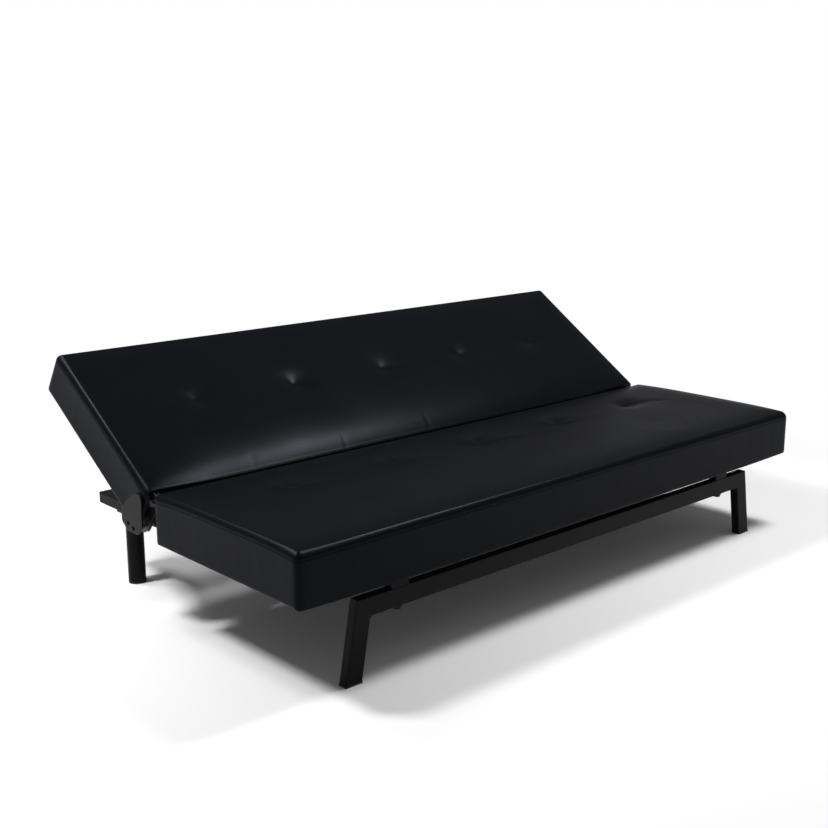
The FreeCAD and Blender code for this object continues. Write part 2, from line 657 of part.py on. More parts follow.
def rear_legs():
    spot = ("dims.rail_offset", "dims.rear_leg_row")
    leg = new_body("rear_leg")
    rings = [(spot, "dims.rear_leg_diameter / 2"), (spot, "dims.rear_leg_diameter / 2 - dims.tube_wall")]
    pad(leg, "XY_Plane", PLATE_LOW + " - dims.glide_thick", circles=rings, offset="dims.glide_thick")
    keep_sides(leg, "rear_leg", "seat")

    plate = box(
        "rear_leg_plate",
        ("(dims.rail_offset - dims.leg_plate_wide / 2)", "(dims.rail_offset + dims.leg_plate_wide / 2)"),
        ("(dims.rear_leg_row - dims.leg_plate_long / 2)", "(dims.rear_leg_row + dims.leg_plate_long / 2)"),
        (PLATE_LOW, RAIL_LOW),
    )
    keep(with_mirror("rear_leg_plates", [plate]), "rear_leg_plates", "seat")

    glide = new_body("rear_glide")
    plug_radius = "dims.rear_leg_diameter / 2 - dims.tube_wall - dims.plug_gap"
    pad(glide, "XY_Plane", "dims.glide_thick", circles=[(spot, "dims.rear_leg_diameter / 2")])
    pad(glide, "XY_Plane", "dims.plug_high", circles=[(spot, plug_radius)], offset="dims.glide_thick")
    keep(with_mirror("rear_leg_glides", [glide]), "rear_leg_glides", "seat")


# Cushions: a timber frame with a hardboard deck, in foam, in a leather cover

def cross_timber_places():
    return ["(dims.rail_offset * %d / 2)" % step for step in range(-2, 3)]


def tuft_places(count):
    return ["(dims.tuft_spacing * %.1f)" % (step - (count - 1) / 2) for step in range(count)]


def arm_screw_places(far_end):
    """Three screws along an arm, counted from its far end inwards."""
    inwards = "+" if far_end.startswith("-") else "-"
    return [
        "(%s %s (dims.arm_screw_first + %d * dims.arm_screw_pitch))" % (far_end, inwards, step)
        for step in range(ARM_SCREWS)
    ]


ARM_SCREWS_SEAT = [
    "(%s + %s)" % (PIVOT_Y, place) for place in arm_screw_places("-" + SEAT_ARM_LONG)
]
ARM_SCREWS_BACK = arm_screw_places("dims.back_arm_long")
SEAT_ARM_LOW = "(%s + dims.cloth_thick)" % TIMBER_Z
SEAT_ARM_MIDDLE = "(%s + dims.arm_wide / 2)" % SEAT_ARM_LOW
BACK_ARM_LOW = "(%s + dims.cloth_thick)" % BACK_TIMBER_Z
BACK_ARM_MIDDLE = "(%s + dims.arm_wide / 2)" % BACK_ARM_LOW


def screw_holes(name, places, height, inner, outer):
    """Drills through the right side board for the screws of a hinge arm."""
    radius = "dims.wood_screw / 2 + dims.drill_gap"
    length = "%s - %s" % (outer, inner)
    return [
        rod("%s_%d" % (name, index), radius, length, (inner, place, height), "out")
        for index, place in enumerate(places)
    ]


def seat_frame():
    rail = "dims.rail_timber_wide"
    whole = (minus(BOARD_IN), BOARD_IN)
    z = (TIMBER_Z, TIMBER_TOP)
    front_edge = "(dims.frame_inset + %s)" % rail
    rear_edge = "(%s - %s)" % (FRAME_REAR, rail)
    bolt_tip = "(%s - dims.washer_thick + dims.mount_bolt_length)" % BAR_LOW

    holes = []
    for side, x in enumerate(("dims.spacer_offset", "-dims.spacer_offset")):
        at = (x, BAR_MIDDLE, TIMBER_Z)
        insert_radius = "dims.insert_diameter / 2 + dims.drill_gap"
        holes.append(rod("insert_hole_%d" % side, insert_radius, "dims.insert_long", at))
        radius = "dims.mount_bolt / 2 + dims.hole_gap"
        reach = "%s - %s + dims.drill_spare" % (bolt_tip, TIMBER_Z)
        holes.append(rod("bolt_hole_%d" % side, radius, reach, at))
    bar = box("front_timber", whole, ("dims.frame_inset", front_edge), z)
    keep(cut("seat_front_rail", bar, holes), "seat_front_rail", "seat")

    rail_radius = "dims.rail_bolt / 2 + dims.drill_gap"
    reach = "%s + dims.rail_bolt_length - %s + dims.drill_spare" % (RAIL_LOW, TIMBER_Z)
    holes = [
        rod("rear_bolt_hole_%d" % side, rail_radius, reach, (x, RAIL_REAR_BOLT, TIMBER_Z))
        for side, x in enumerate(("dims.rail_offset", "-dims.rail_offset"))
    ]
    bar = box("rear_timber", whole, (rear_edge, FRAME_REAR), z)
    keep(cut("seat_rear_rail", bar, holes), "seat_rear_rail", "seat")

    board = box("seat_side_timber", (BOARD_IN, FRAME_HALF), ("dims.frame_inset", FRAME_REAR), z)
    drills = screw_holes("seat_screw_hole", ARM_SCREWS_SEAT, SEAT_ARM_MIDDLE, BOARD_IN, FRAME_HALF)
    keep(with_mirror("seat_side_boards", [cut("seat_side_board", board, drills)]), "seat_side_boards", "seat")

    half = "dims.cross_timber_wide / 2"
    timbers = []
    for index, place in enumerate(cross_timber_places()):
        timber = box(
            "seat_cross_%d" % index, ("(%s - %s)" % (place, half), "(%s + %s)" % (place, half)),
            (front_edge, rear_edge), z,
        )
        if index in (0, len(cross_timber_places()) - 1):
            drills = [
                rod("cross_bolt_hole_%d_%d" % (index, number), rail_radius, reach, (place, y, TIMBER_Z))
                for number, y in enumerate(("dims.rail_bolt_first", "dims.rail_bolt_second"))
            ]
            timber = cut("seat_cross_drilled_%d" % index, timber, drills)
        timbers.append(timber)
    keep(group("seat_cross_timbers", timbers), "seat_cross_timbers", "seat")

    deck = box(
        "seat_deck", (minus(FRAME_HALF), FRAME_HALF), ("dims.frame_inset", FRAME_REAR), (TIMBER_TOP, DECK_TOP)
    )
    keep(deck, "seat_deck_panel", "seat")


def tie_rods(name, count, row, low, high, radius):
    return [
        rod("%s_%d" % (name, index), radius, "%s - %s" % (high, low), (x, row, low))
        for index, x in enumerate(tuft_places(count))
    ]


def seat_cushion():
    skin = "dims.cover_thick"
    inside = ("(%s)" % skin, "(dims.seat_depth - %s)" % skin)
    inner_z = (TIMBER_Z, "(%s - %s)" % (SEAT_TOP, skin))
    inner_round = "dims.cushion_round - " + skin
    tuft_top = "(%s - dims.tuft_depth)" % SEAT_TOP
    tie = "dims.tie_diameter / 2"
    inner_half = "(%s - %s)" % (HALF, skin)
    pocket_front = "(dims.seat_depth - dims.seat_arm_reach - dims.pocket_end_gap)"
    pocket_top = "(%s - dims.layer_gap)" % PIVOT_Z

    def arm_room(name, y_to, z_from):
        return box(name, (POCKET_IN, POCKET_TO), (pocket_front, y_to), (z_from, pocket_top))

    core = box(
        "seat_core", (minus(FRAME_HALF), FRAME_HALF), ("dims.frame_inset", FRAME_REAR), (TIMBER_Z, DECK_TOP)
    )
    room = arm_room("seat_foam_pocket", "dims.seat_depth", TIMBER_Z)
    socket = tie + " + dims.tie_gap"
    sockets = tie_rods("seat_tie_hole", SEAT_TUFTS, "dims.seat_tuft_row", DECK_TOP, tuft_top, socket)
    block = slab("seat_foam_block", inner_half, inside, inner_z, inner_round)
    foam = cut("seat_foam", block, [core, room, mirrored(room)] + sockets)
    keep(foam, "seat_foam", "seat")

    outer = slab("seat_cover_block", HALF, ("0", "dims.seat_depth"), ("dims.seat_underside", SEAT_TOP),
                 "dims.cushion_round")
    lining = slab("seat_cover_lining", inner_half, inside, inner_z, inner_round)
    window_half = "(%s - dims.hem_width)" % HALF
    window_y = ("dims.hem_width", "(dims.seat_depth - dims.hem_width)")
    window_z = ("dims.seat_underside", TIMBER_Z)
    window = box("seat_window", (minus(window_half), window_half), window_y, window_z)
    slot_low = "(%s - dims.sector_tip - dims.pocket_end_gap)" % PIVOT_Z
    slot = arm_room("seat_cover_slot", "dims.seat_depth", slot_low)
    hem_bolts = (("mount_bolt", "spacer_offset", BAR_MIDDLE), ("rail_bolt", "rail_offset", RAIL_REAR_BOLT))
    holes = []
    for side in ("", "-"):
        for bolt, offset, y in hem_bolts:
            name = "hem_%s_hole%d" % (bolt, len(holes))
            at = (side + "dims." + offset, y, "dims.seat_underside")
            holes.append(rod(name, "dims.%s / 2 + dims.hole_gap" % bolt, "dims.cover_thick", at))
    cover = cut("seat_cover", outer, [lining, window, slot, mirrored(slot)] + holes)
    keep(cover, "seat_cover", "seat")

    cloth_half = "(%s - dims.cloth_edge_gap)" % window_half
    cloth_top = "(%s - dims.cloth_gap)" % TIMBER_Z
    cloth = box(
        "seat_cloth", (minus(cloth_half), cloth_half),
        ("(%s + dims.cloth_edge_gap)" % window_y[0], "(%s - dims.cloth_edge_gap)" % window_y[1]),
        ("(%s - dims.cloth_thick)" % cloth_top, cloth_top),
    )
    holes = []
    for x in ("dims.rail_offset", "-dims.rail_offset"):
        for y in ("dims.rail_bolt_first", "dims.rail_bolt_second"):
            at = (x, y, "(%s - dims.cloth_thick)" % cloth_top)
            holes.append(rod("cloth_hole_%d" % len(holes), "dims.rail_bolt / 2 + dims.hole_gap",
                             "dims.cloth_thick", at))
    keep(cut("seat_dust_cloth", cloth, holes), "seat_dust_cloth", "seat")
    ties = tie_rods("seat_tie", SEAT_TUFTS, "dims.seat_tuft_row", DECK_TOP, tuft_top, tie)
    keep(group("seat_tuft_ties", ties), "seat_tuft_ties", "seat")


def back_frame():
    whole = (minus(BACK_BOARD_IN), BACK_BOARD_IN)
    z = (BACK_TIMBER_Z, BACK_TIMBER_TOP)
    lower_to = "(%s + dims.rail_timber_wide)" % BACK_FRAME_FROM
    upper_from = "(%s - dims.rail_timber_wide)" % BACK_FRAME_TO
    keep(box("lower_timber", whole, (BACK_FRAME_FROM, lower_to), z), "back_lower_rail", "back")
    keep(box("upper_timber", whole, (upper_from, BACK_FRAME_TO), z), "back_upper_rail", "back")

    board = box("back_side_timber", (BACK_BOARD_IN, INNER_CHEEK), ("dims.back_board_from", BACK_FRAME_TO), z)
    drills = screw_holes("back_screw_hole", ARM_SCREWS_BACK, BACK_ARM_MIDDLE, BACK_BOARD_IN, INNER_CHEEK)
    keep(with_mirror("back_side_boards", [cut("back_side_board", board, drills)]), "back_side_boards", "back")

    half = "dims.cross_timber_wide / 2"
    timbers = [
        box("back_cross_%d" % index, ("(%s - %s)" % (place, half), "(%s + %s)" % (place, half)),
            (lower_to, upper_from), z)
        for index, place in enumerate(cross_timber_places())
    ]
    keep(group("back_cross_timbers", timbers), "back_cross_timbers", "back")
    deck = box("back_deck", (minus(INNER_CHEEK), INNER_CHEEK), (BACK_FRAME_FROM, BACK_FRAME_TO),
               (BACK_TIMBER_TOP, BACK_DECK_TOP))
    keep(deck, "back_deck_panel", "back")


def back_cushion():
    skin = "dims.cover_thick"
    inside = ("(dims.back_gap + %s)" % skin, "(%s - %s)" % (BACK_END, skin))
    inner_z = (BACK_TIMBER_Z, "(%s - %s)" % (BACK_FACE, skin))
    inner_round = "dims.cushion_round - " + skin
    inner_half = "(%s - %s)" % (HALF, skin)
    tuft_row = "(dims.back_gap + dims.back_tuft_row)"
    tuft_top = "(%s - dims.tuft_depth)" % BACK_FACE
    tie = "dims.tie_diameter / 2"
    room_top = "(dims.boss_radius + dims.cheek_over_boss + dims.pocket_top_gap)"
    room_to = "(dims.back_arm_long + dims.pocket_end_gap)"
    mouth_to = "dims.back_arm_root"

    def arm_room(name):
        room = box(name, (BACK_POCKET_IN, POCKET_TO), ("0", room_to), (BACK_ARM_LOW, room_top))
        mouth = box(name + "_mouth", (BACK_POCKET_IN, POCKET_TO), ("0", mouth_to),
                    ("(%s - dims.pocket_end_gap)" % BACK_Z, BACK_ARM_LOW))
        return fuse(name + "_both", [room, mouth])

    core = box("back_core", (minus(INNER_CHEEK), INNER_CHEEK), (BACK_FRAME_FROM, BACK_FRAME_TO),
               (BACK_TIMBER_Z, BACK_DECK_TOP))
    room = arm_room("back_foam_pocket")
    socket = tie + " + dims.tie_gap"
    sockets = tie_rods("back_tie_hole", BACK_TUFTS, tuft_row, BACK_DECK_TOP, tuft_top, socket)
    block = slab("back_foam_block", inner_half, inside, inner_z, inner_round)
    keep(cut("back_foam", block, [core, room, mirrored(room)] + sockets), "back_foam", "back")

    outer = slab("back_cover_block", HALF, ("dims.back_gap", BACK_END), (BACK_Z, BACK_FACE),
                 "dims.cushion_round")
    lining = slab("back_cover_lining", inner_half, inside, inner_z, inner_round)
    window_half = "(%s - dims.hem_width)" % HALF
    window_y = ("(dims.back_gap + dims.hem_width)", "(%s - dims.hem_width)" % BACK_END)
    window = box("back_window", (minus(window_half), window_half), window_y, (BACK_Z, BACK_TIMBER_Z))
    slot = arm_room("back_cover_slot")
    cover = cut("back_cover", outer, [lining, window, slot, mirrored(slot)])
    keep(cover, "back_cover", "back")

    cloth_half = "(%s - dims.cloth_edge_gap)" % window_half
    cloth_top = "(%s - dims.cloth_gap)" % BACK_TIMBER_Z
    cloth_z = ("(%s - dims.cloth_thick)" % cloth_top, cloth_top)
    cloth = box(
        "back_cloth", (minus(cloth_half), cloth_half),
        ("(%s + dims.cloth_edge_gap)" % window_y[0], "(%s - dims.cloth_edge_gap)" % window_y[1]), cloth_z,
    )
    keep(cloth, "back_dust_cloth", "back")
    ties = tie_rods("back_tie", BACK_TUFTS, tuft_row, BACK_DECK_TOP, tuft_top, tie)
    keep(group("back_tuft_ties", ties), "back_tuft_ties", "back")


# Ratchet hinge: an arm on the seat, a double arm on the back, and between them pawl and ring

ARM_FOOT_LOW = "(%s - %s)" % (SEAT_ARM_LOW, PIVOT_Z)
ARM_FOOT_TOP = "(%s + dims.arm_wide)" % ARM_FOOT_LOW
# The foot that is screwed to the seat, and the neck from it up to the round end on the pivot.
SEAT_ARM_CORNERS = (
    ("-" + SEAT_ARM_LONG, ARM_FOOT_LOW),
    ("-dims.sector_tip - dims.cushion_round", ARM_FOOT_LOW),
    ("-dims.sector_tip", ARM_FOOT_LOW + " + dims.cushion_round"),
    ("-dims.sector_tip", "-dims.sector_tip - 3"),
    ("-38", "-dims.sector_tip"),
    ("-29", "-dims.sector_tip + 8"),
    ("0", "-dims.boss_radius / 2"),
    ("-dims.boss_radius", "0"),
    ("-50", "-8"),
    ("-80", ARM_FOOT_TOP),
    ("-" + SEAT_ARM_LONG, ARM_FOOT_TOP),
)


def seat_arm():
    sector = "dims.sector_tip"
    thick = "dims.arm_thick"
    hole = "dims.pivot_bolt / 2 + dims.run_gap"
    arm = new_body("seat_arm")
    pie(arm, FRAME_HALF, thick, sector, "dims.sector_from", "dims.sector_to")
    pad(arm, "YZ_Plane", thick, circles=[(("0", "0"), "dims.boss_radius")], offset=FRAME_HALF)
    pad(arm, "YZ_Plane", thick, outlines=[SEAT_ARM_CORNERS], offset=FRAME_HALF)
    for tilt in ("0", "dims.tilt_rest", "dims.tilt_upright"):
        notch = rectangle(
            "dims.sector_tip - dims.notch_deep", "dims.sector_tip + dims.notch_over",
            "-dims.notch_wide / 2", "dims.notch_wide / 2",
        )
        pocket(arm, "YZ_Plane", outlines=[notch], offset=FRAME_HALF, turn="dims.nose_direction + " + tilt)
    holes = [(("0", "0"), hole)]
    for place in arm_screw_places("-" + SEAT_ARM_LONG):
        middle = "(%s - %s)" % (SEAT_ARM_MIDDLE, PIVOT_Z)
        holes.append(((place, middle), "dims.wood_screw / 2 + dims.drill_gap"))
    pocket(arm, "YZ_Plane", circles=holes, offset=FRAME_HALF)
    keep_sides(arm, "seat_arm", "hinge")

    screws = [
        pan_screw("seat_arm_screw_%d" % index, "dims.wood_screw", "dims.wood_screw_length - dims.cheek_thick",
                  "dims.wood_screw_head", "dims.wood_screw_head_high", (ARM_TO, place, SEAT_ARM_MIDDLE), "in")
        for index, place in enumerate(ARM_SCREWS_SEAT)
    ]
    keep(with_mirror("seat_arm_screws", screws), "seat_arm_screws", "seat")


LOBE_LOW = "(%s - dims.lobe_below)" % PIN_Z
BACK_ARM_TOP = "(%s + dims.arm_wide)" % BACK_ARM_LOW
# Around the pivot, then up the back, then round the lobe that carries the pawl.
CHEEK_CORNERS = (
    ("-22", "14"),
    ("-8", "dims.boss_radius + dims.cheek_over_boss"),
    ("14", "dims.boss_radius + dims.cheek_over_boss"),
    ("72", BACK_ARM_TOP + " + 6"),
    ("dims.back_arm_long", BACK_ARM_TOP),
    ("dims.back_arm_long", BACK_ARM_LOW),
    ("62", BACK_ARM_LOW),
    ("48", LOBE_LOW + " + 7"),
    ("30", LOBE_LOW),
    ("4", LOBE_LOW + " + 5"),
    ("-12", LOBE_LOW + " + 17"),
    ("-16", "-60"),
    ("-24", "-20"),
)
COVER_SCREWS = [
    turned("dims.first_screw_y", "dims.first_screw_z", "(-dims.tilt_rest)"),
    turned("dims.second_screw_y", "dims.second_screw_z", "(-dims.tilt_rest)"),
]


def back_arms():
    bolt_hole = "dims.pivot_bolt / 2 + dims.drill_gap"
    screw_hole = "dims.wood_screw / 2 + dims.drill_gap"
    cover_hole = "dims.cover_screw / 2 + dims.drill_gap"
    common = [(("0", "0"), bolt_hole), ((PIN_Y, PIN_Z), bolt_hole)]
    common += [((place, BACK_ARM_MIDDLE), screw_hole) for place in ARM_SCREWS_BACK]

    inner = new_body("inner_cheek")
    pad(inner, "YZ_Plane", "dims.cheek_thick", outlines=[CHEEK_CORNERS], offset=INNER_CHEEK)
    fillet(inner, "dims.cheek_round", along(X_AXIS))
    pocket(inner, "YZ_Plane", circles=common, offset=INNER_CHEEK)
    keep_sides(inner, "back_arm_inner", "back")

    outer = new_body("outer_cheek")
    pad(outer, "YZ_Plane", "dims.cheek_thick", outlines=[CHEEK_CORNERS], offset=OUTER_CHEEK)
    fillet(outer, "dims.cheek_round", along(X_AXIS))
    pocket(outer, "YZ_Plane", circles=common + [(spot, cover_hole) for spot in COVER_SCREWS],
           offset=OUTER_CHEEK)
    keep_sides(outer, "back_arm_outer", "back")

    spacer = new_body("cheek_spacer")
    plan = rectangle("dims.back_arm_root", "dims.back_arm_long", BACK_ARM_LOW,
                     "(%s + dims.arm_wide)" % BACK_ARM_LOW)
    spots = [((place, BACK_ARM_MIDDLE), screw_hole) for place in ARM_SCREWS_BACK]
    pad(spacer, "YZ_Plane", "%s - %s" % (OUTER_CHEEK, INNER_CHEEK_TO), outlines=[plan], circles=spots,
        offset=INNER_CHEEK_TO)
    keep(with_mirror("back_arm_spacers", [spacer]), "back_arm_spacers", "back")

    length = "(%s - %s + dims.wood_screw_length - 2 * dims.cheek_thick)" % (OUTER_CHEEK_TO, INNER_CHEEK_TO)
    screws = [
        pan_screw("back_arm_screw_%d" % index, "dims.wood_screw", length, "dims.wood_screw_head",
                  "dims.wood_screw_head_high", (OUTER_CHEEK_TO, place, BACK_ARM_MIDDLE), "in")
        for index, place in enumerate(ARM_SCREWS_BACK)
    ]
    keep(with_mirror("back_arm_screws", screws), "back_arm_screws", "back")


def hinge_bolts():
    nut_from = "(%s - dims.nut_high)" % INNER_CHEEK
    length = "(%s - %s + dims.pawl_side_gap)" % (OUTER_CHEEK_TO, nut_from)
    for label, at in (("pivot", ("0", "0")), ("pawl", (PIN_Y, PIN_Z))):
        bolt = hex_bolt(label + "_bolt", "dims.pivot_bolt", length, "dims.mount_flats", "dims.mount_head",
                        (OUTER_CHEEK_TO,) + at, "in")
        keep(with_mirror(label + "_bolts", [bolt]), label + "_bolts", "back")
        bore = rod(label + "_nut_bore", "dims.pivot_bolt / 2 + dims.drill_gap", "dims.nut_high",
                   ("0", "0", "0"))
        nut = cut(label + "_nut", hexagon(label + "_nut_body", "dims.mount_flats", "dims.nut_high", "0"),
                  [bore])
        aimed(nut, (nut_from,) + at, "out")
        keep(with_mirror(label + "_bolt_nuts", [nut]), label + "_bolt_nuts", "back")


# Round the bolt, along the under side to the nose, and back along the upper side.
PAWL_CORNERS = (
    ("-9", "8"),
    ("-9", "-7"),
    ("10", "-7"),
    ("30", "6"),
    ("dims.pawl_reach - dims.nose_wide / 2 - 0.6", "6"),
    ("dims.pawl_reach - dims.nose_wide / 2", "dims.nose_lift"),
    ("dims.pawl_reach + dims.nose_wide / 2", "dims.nose_lift"),
    ("dims.pawl_reach + dims.nose_wide / 2 + 1.2", "14"),
    ("30", "16"),
)
# From the top of the post, bent up along the pawl's back, and home along the other side of the leaf.
LEAF_CORNERS = (
    ("0", "dims.spring_post / 2"),
    ("-22", "dims.spring_post / 2 + 7.6"),
    ("-24", "dims.spring_post / 2 + 26.7"),
    ("-22.8", "dims.spring_post / 2 + 26.6"),
    ("-20.9", "dims.spring_post / 2 + 8.4"),
    ("0", "dims.spring_post / 2 + dims.spring_thick"),
)


def pawl_and_ring():
    ring = new_body("release_ring")
    land = "(dims.sector_tip + dims.ring_lift)"
    pie(ring, RING, "dims.ring_thick", land, "dims.ring_from", "dims.ring_to")
    pad(ring, "YZ_Plane", "dims.ring_thick", circles=[(("0", "0"), "dims.ring_radius")], offset=RING)
    pocket(ring, "YZ_Plane", circles=[(("0", "0"), "dims.pivot_bolt / 2 + dims.run_gap")], offset=RING)
    keep_sides(ring, "release_ring", "back")

    pawl = new_body("pawl")
    inner = "(%s + dims.pawl_side_gap - dims.layer_gap)" % FRAME_HALF
    thick = "%s - dims.pawl_side_gap - %s" % (OUTER_CHEEK, inner)
    pad(pawl, "YZ_Plane", thick, outlines=[PAWL_CORNERS], offset=inner, turn=PAWL_TURN, centre=(PIN_Y, PIN_Z))
    pocket(pawl, "YZ_Plane", circles=[(("0", "0"), "dims.pivot_bolt / 2 + dims.run_gap")], offset=inner,
           centre=(PIN_Y, PIN_Z))
    keep_sides(pawl, "pawl", "back")

    post_y = "(%s - dims.post_before)" % PIN_Y
    post_z = "(%s - dims.post_below)" % PIN_Z
    post = rod("spring_post", "dims.spring_post / 2", "%s - %s" % (OUTER_CHEEK, INNER_CHEEK_TO),
               (INNER_CHEEK_TO, post_y, post_z), "out")
    leaf = new_body("spring_leaf")
    middle = "((%s + %s - dims.spring_wide) / 2)" % (OUTER_CHEEK, INNER_CHEEK_TO)
    pad(leaf, "YZ_Plane", "dims.spring_wide", outlines=[LEAF_CORNERS], offset=middle, centre=(post_y, post_z))
    keep(with_mirror("pawl_springs", [post, leaf]), "pawl_springs", "back")


def inset(corners, distance):
    """The outline moved inwards by a size of the sheet; the corners run counterclockwise."""
    points = [FreeCAD.Vector(y, z, 0) for y, z in corners]
    count = len(points)
    inward = []
    for step in range(count):
        edge = points[(step + 1) % count] - points[step]
        inward.append(Z_AXIS.cross(edge).normalize())
    moved = []
    for step, point in enumerate(points):
        before, after = inward[step - 1], inward[step]
        shift = (before + after) * (1 / (1 + before.dot(after)))
        moved.append(tuple("(%g + %s * %.6f)" % (place, distance, part)
                           for place, part in ((point.x, shift.x), (point.y, shift.y))))
    return moved


SHELL_CORNERS = ((8, 8), (10, -60), (30, -81), (80, -81), (103, -62), (103, -30), (60, 6), (30, 22), (12, 20))


def hinge_covers():
    outer = new_body("shell_outer")
    pad(outer, "YZ_Plane", "dims.shell_deep", outlines=[inset(SHELL_CORNERS, "0")], offset=SHELL,
        turn="-dims.tilt_rest")
    fillet(outer, "dims.shell_round", along(X_AXIS))
    fillet(outer, "dims.shell_edge", lying_at(X_AXIS, value(SHELL_TO)))
    recess = new_body("shell_recess")
    pad(recess, "YZ_Plane", "dims.shell_deep - dims.shell_thick",
        outlines=[inset(SHELL_CORNERS, "dims.shell_thick")], offset=SHELL, turn="-dims.tilt_rest")
    fillet(recess, "dims.shell_round - dims.shell_thick", along(X_AXIS))
    radius = "dims.cover_screw / 2 + dims.drill_gap"
    bores = [
        rod("shell_bore_%d" % index, radius, "dims.shell_deep", (SHELL,) + spot, "out")
        for index, spot in enumerate(COVER_SCREWS)
    ]
    keep_sides(cut("hinge_cover", outer, [recess] + bores), "hinge_cover", "back")

    under_shell = "(%s - dims.shell_thick)" % SHELL_TO
    screws = []
    sleeves = []
    for index, spot in enumerate(COVER_SCREWS):
        length = "(%s - %s)" % (SHELL_TO, OUTER_CHEEK)
        screws.append(pan_screw("cover_screw_%d" % index, "dims.cover_screw", length, "dims.cover_screw_head",
                                "dims.cover_screw_head_high", (SHELL_TO,) + spot, "in"))
        sleeve = new_body("cover_sleeve_%d" % index)
        rings = [(spot, "dims.sleeve_diameter / 2"), (spot, radius)]
        pad(sleeve, "YZ_Plane", "%s - %s" % (under_shell, OUTER_CHEEK_TO), circles=rings,
            offset=OUTER_CHEEK_TO)
        sleeves.append(sleeve)
    keep(with_mirror("hinge_cover_screws", screws), "hinge_cover_screws", "back")
    keep(with_mirror("hinge_cover_sleeves", sleeves), "hinge_cover_sleeves", "back")


front_frame()
side_rails()
rear_legs()
seat_frame()
seat_cushion()
back_frame()
back_cushion()
seat_arm()
back_arms()
hinge_bolts()
pawl_and_ring()
hinge_covers()
doc.recompute()

for item in doc.Objects:
    if "Invalid" in item.State or "Error" in item.State:
        raise RuntimeError("%s did not build: %s" % (item.Label, item.State))
for item in subparts:
    if item.Shape.isNull() or not item.Shape.isValid():
        raise RuntimeError(item.Label + " has no valid shape")

os.makedirs("parts", exist_ok=True)
for item in subparts:
    item.Shape.exportStep("parts/%s.step" % item.Label)
print(len(subparts), "sub-parts written")
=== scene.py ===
import math

import bpy
from mathutils import Matrix, Vector, noise


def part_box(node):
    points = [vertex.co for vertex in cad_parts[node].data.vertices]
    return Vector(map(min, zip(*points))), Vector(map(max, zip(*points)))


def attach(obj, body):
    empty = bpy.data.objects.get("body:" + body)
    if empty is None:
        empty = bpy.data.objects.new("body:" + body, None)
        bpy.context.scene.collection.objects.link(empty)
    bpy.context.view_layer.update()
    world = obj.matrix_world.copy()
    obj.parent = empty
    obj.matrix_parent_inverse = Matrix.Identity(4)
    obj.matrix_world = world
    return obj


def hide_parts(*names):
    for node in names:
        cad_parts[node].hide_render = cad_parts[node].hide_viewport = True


# Click clack sofa bed in black leather cloth on a black tube frame. Metres; X runs along the sofa,
# Y from front to rear, Z up, and the origin is on the floor under its middle.

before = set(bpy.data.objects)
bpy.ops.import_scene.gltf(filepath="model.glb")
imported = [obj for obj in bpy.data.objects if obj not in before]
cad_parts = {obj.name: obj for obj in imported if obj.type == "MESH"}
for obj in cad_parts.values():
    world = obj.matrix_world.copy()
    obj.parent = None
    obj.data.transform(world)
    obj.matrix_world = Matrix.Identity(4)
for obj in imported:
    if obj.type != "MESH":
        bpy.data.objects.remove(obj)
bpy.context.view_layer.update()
bpy.ops.object.select_all(action="DESELECT")


# Studio
# A white floor that runs on into a white surround, with one soft lamp from the front right and two
# from above the left end, which draw the long highlights on the leather's edges.

FLOOR_SIZE = 60.0
FLOOR_WHITE = 0.93
SHADOW_ROOM = 1.2
FADE_ROOM = 0.7
WALL_TOP = 0.0
WALL_FADE = 0.13
CEILING_LIGHT = 0.2

bpy.ops.mesh.primitive_plane_add(size=FLOOR_SIZE)
floor = bpy.context.object
floor.name = "floor"


def add(tree, kind, **settings):
    """A new node; a setting in capitals is a property, and any other is an input."""
    node = tree.nodes.new(kind)
    for name, value in settings.items():
        if name.isupper():
            setattr(node, name.lower(), value)
        else:
            node.inputs[name.replace("_", " ")].default_value = value
    return node


def wire(tree, source, output, target, socket):
    tree.links.new(source.outputs[output], target.inputs[socket])


def seen_by_eye_or_mirror(tree):
    """1 on rays that come from the camera or from a reflection, as a node with a Value output."""
    path = add(tree, "ShaderNodeLightPath")
    first = add(tree, "ShaderNodeMath", OPERATION="MAXIMUM")
    second = add(tree, "ShaderNodeMath", OPERATION="MAXIMUM")
    wire(tree, path, "Is Camera Ray", first, 0)
    wire(tree, path, "Is Transmission Ray", first, 1)
    tree.links.new(first.outputs[0], second.inputs[0])
    wire(tree, path, "Is Glossy Ray", second, 1)
    return second


paper = bpy.data.materials.new("white_paper")
paper.use_nodes = True
tree = paper.node_tree
tree.nodes.clear()
matte = add(tree, "ShaderNodeBsdfDiffuse", Color=(FLOOR_WHITE, FLOOR_WHITE, FLOOR_WHITE, 1))
glow = add(tree, "ShaderNodeEmission", Strength=1.0)
nothing = add(tree, "ShaderNodeBsdfTransparent")
place = add(tree, "ShaderNodeTexCoord")
distance = add(tree, "ShaderNodeVectorMath", OPERATION="LENGTH")
wire(tree, place, "Object", distance, 0)
fade = add(tree, "ShaderNodeMapRange", From_Min=SHADOW_ROOM, From_Max=SHADOW_ROOM + FADE_ROOM)
wire(tree, distance, "Value", fade, "Value")
direct = seen_by_eye_or_mirror(tree)
share = add(tree, "ShaderNodeMath", OPERATION="MULTIPLY")
wire(tree, fade, "Result", share, 0)
tree.links.new(direct.outputs[0], share.inputs[1])
near_or_far = add(tree, "ShaderNodeMixShader")
tree.links.new(share.outputs[0], near_or_far.inputs[0])
tree.links.new(matte.outputs[0], near_or_far.inputs[1])
tree.links.new(glow.outputs[0], near_or_far.inputs[2])
side = add(tree, "ShaderNodeNewGeometry")
one_sided = add(tree, "ShaderNodeMixShader")
wire(tree, side, "Backfacing", one_sided, 0)
tree.links.new(near_or_far.outputs[0], one_sided.inputs[1])
tree.links.new(nothing.outputs[0], one_sided.inputs[2])
end = add(tree, "ShaderNodeOutputMaterial")
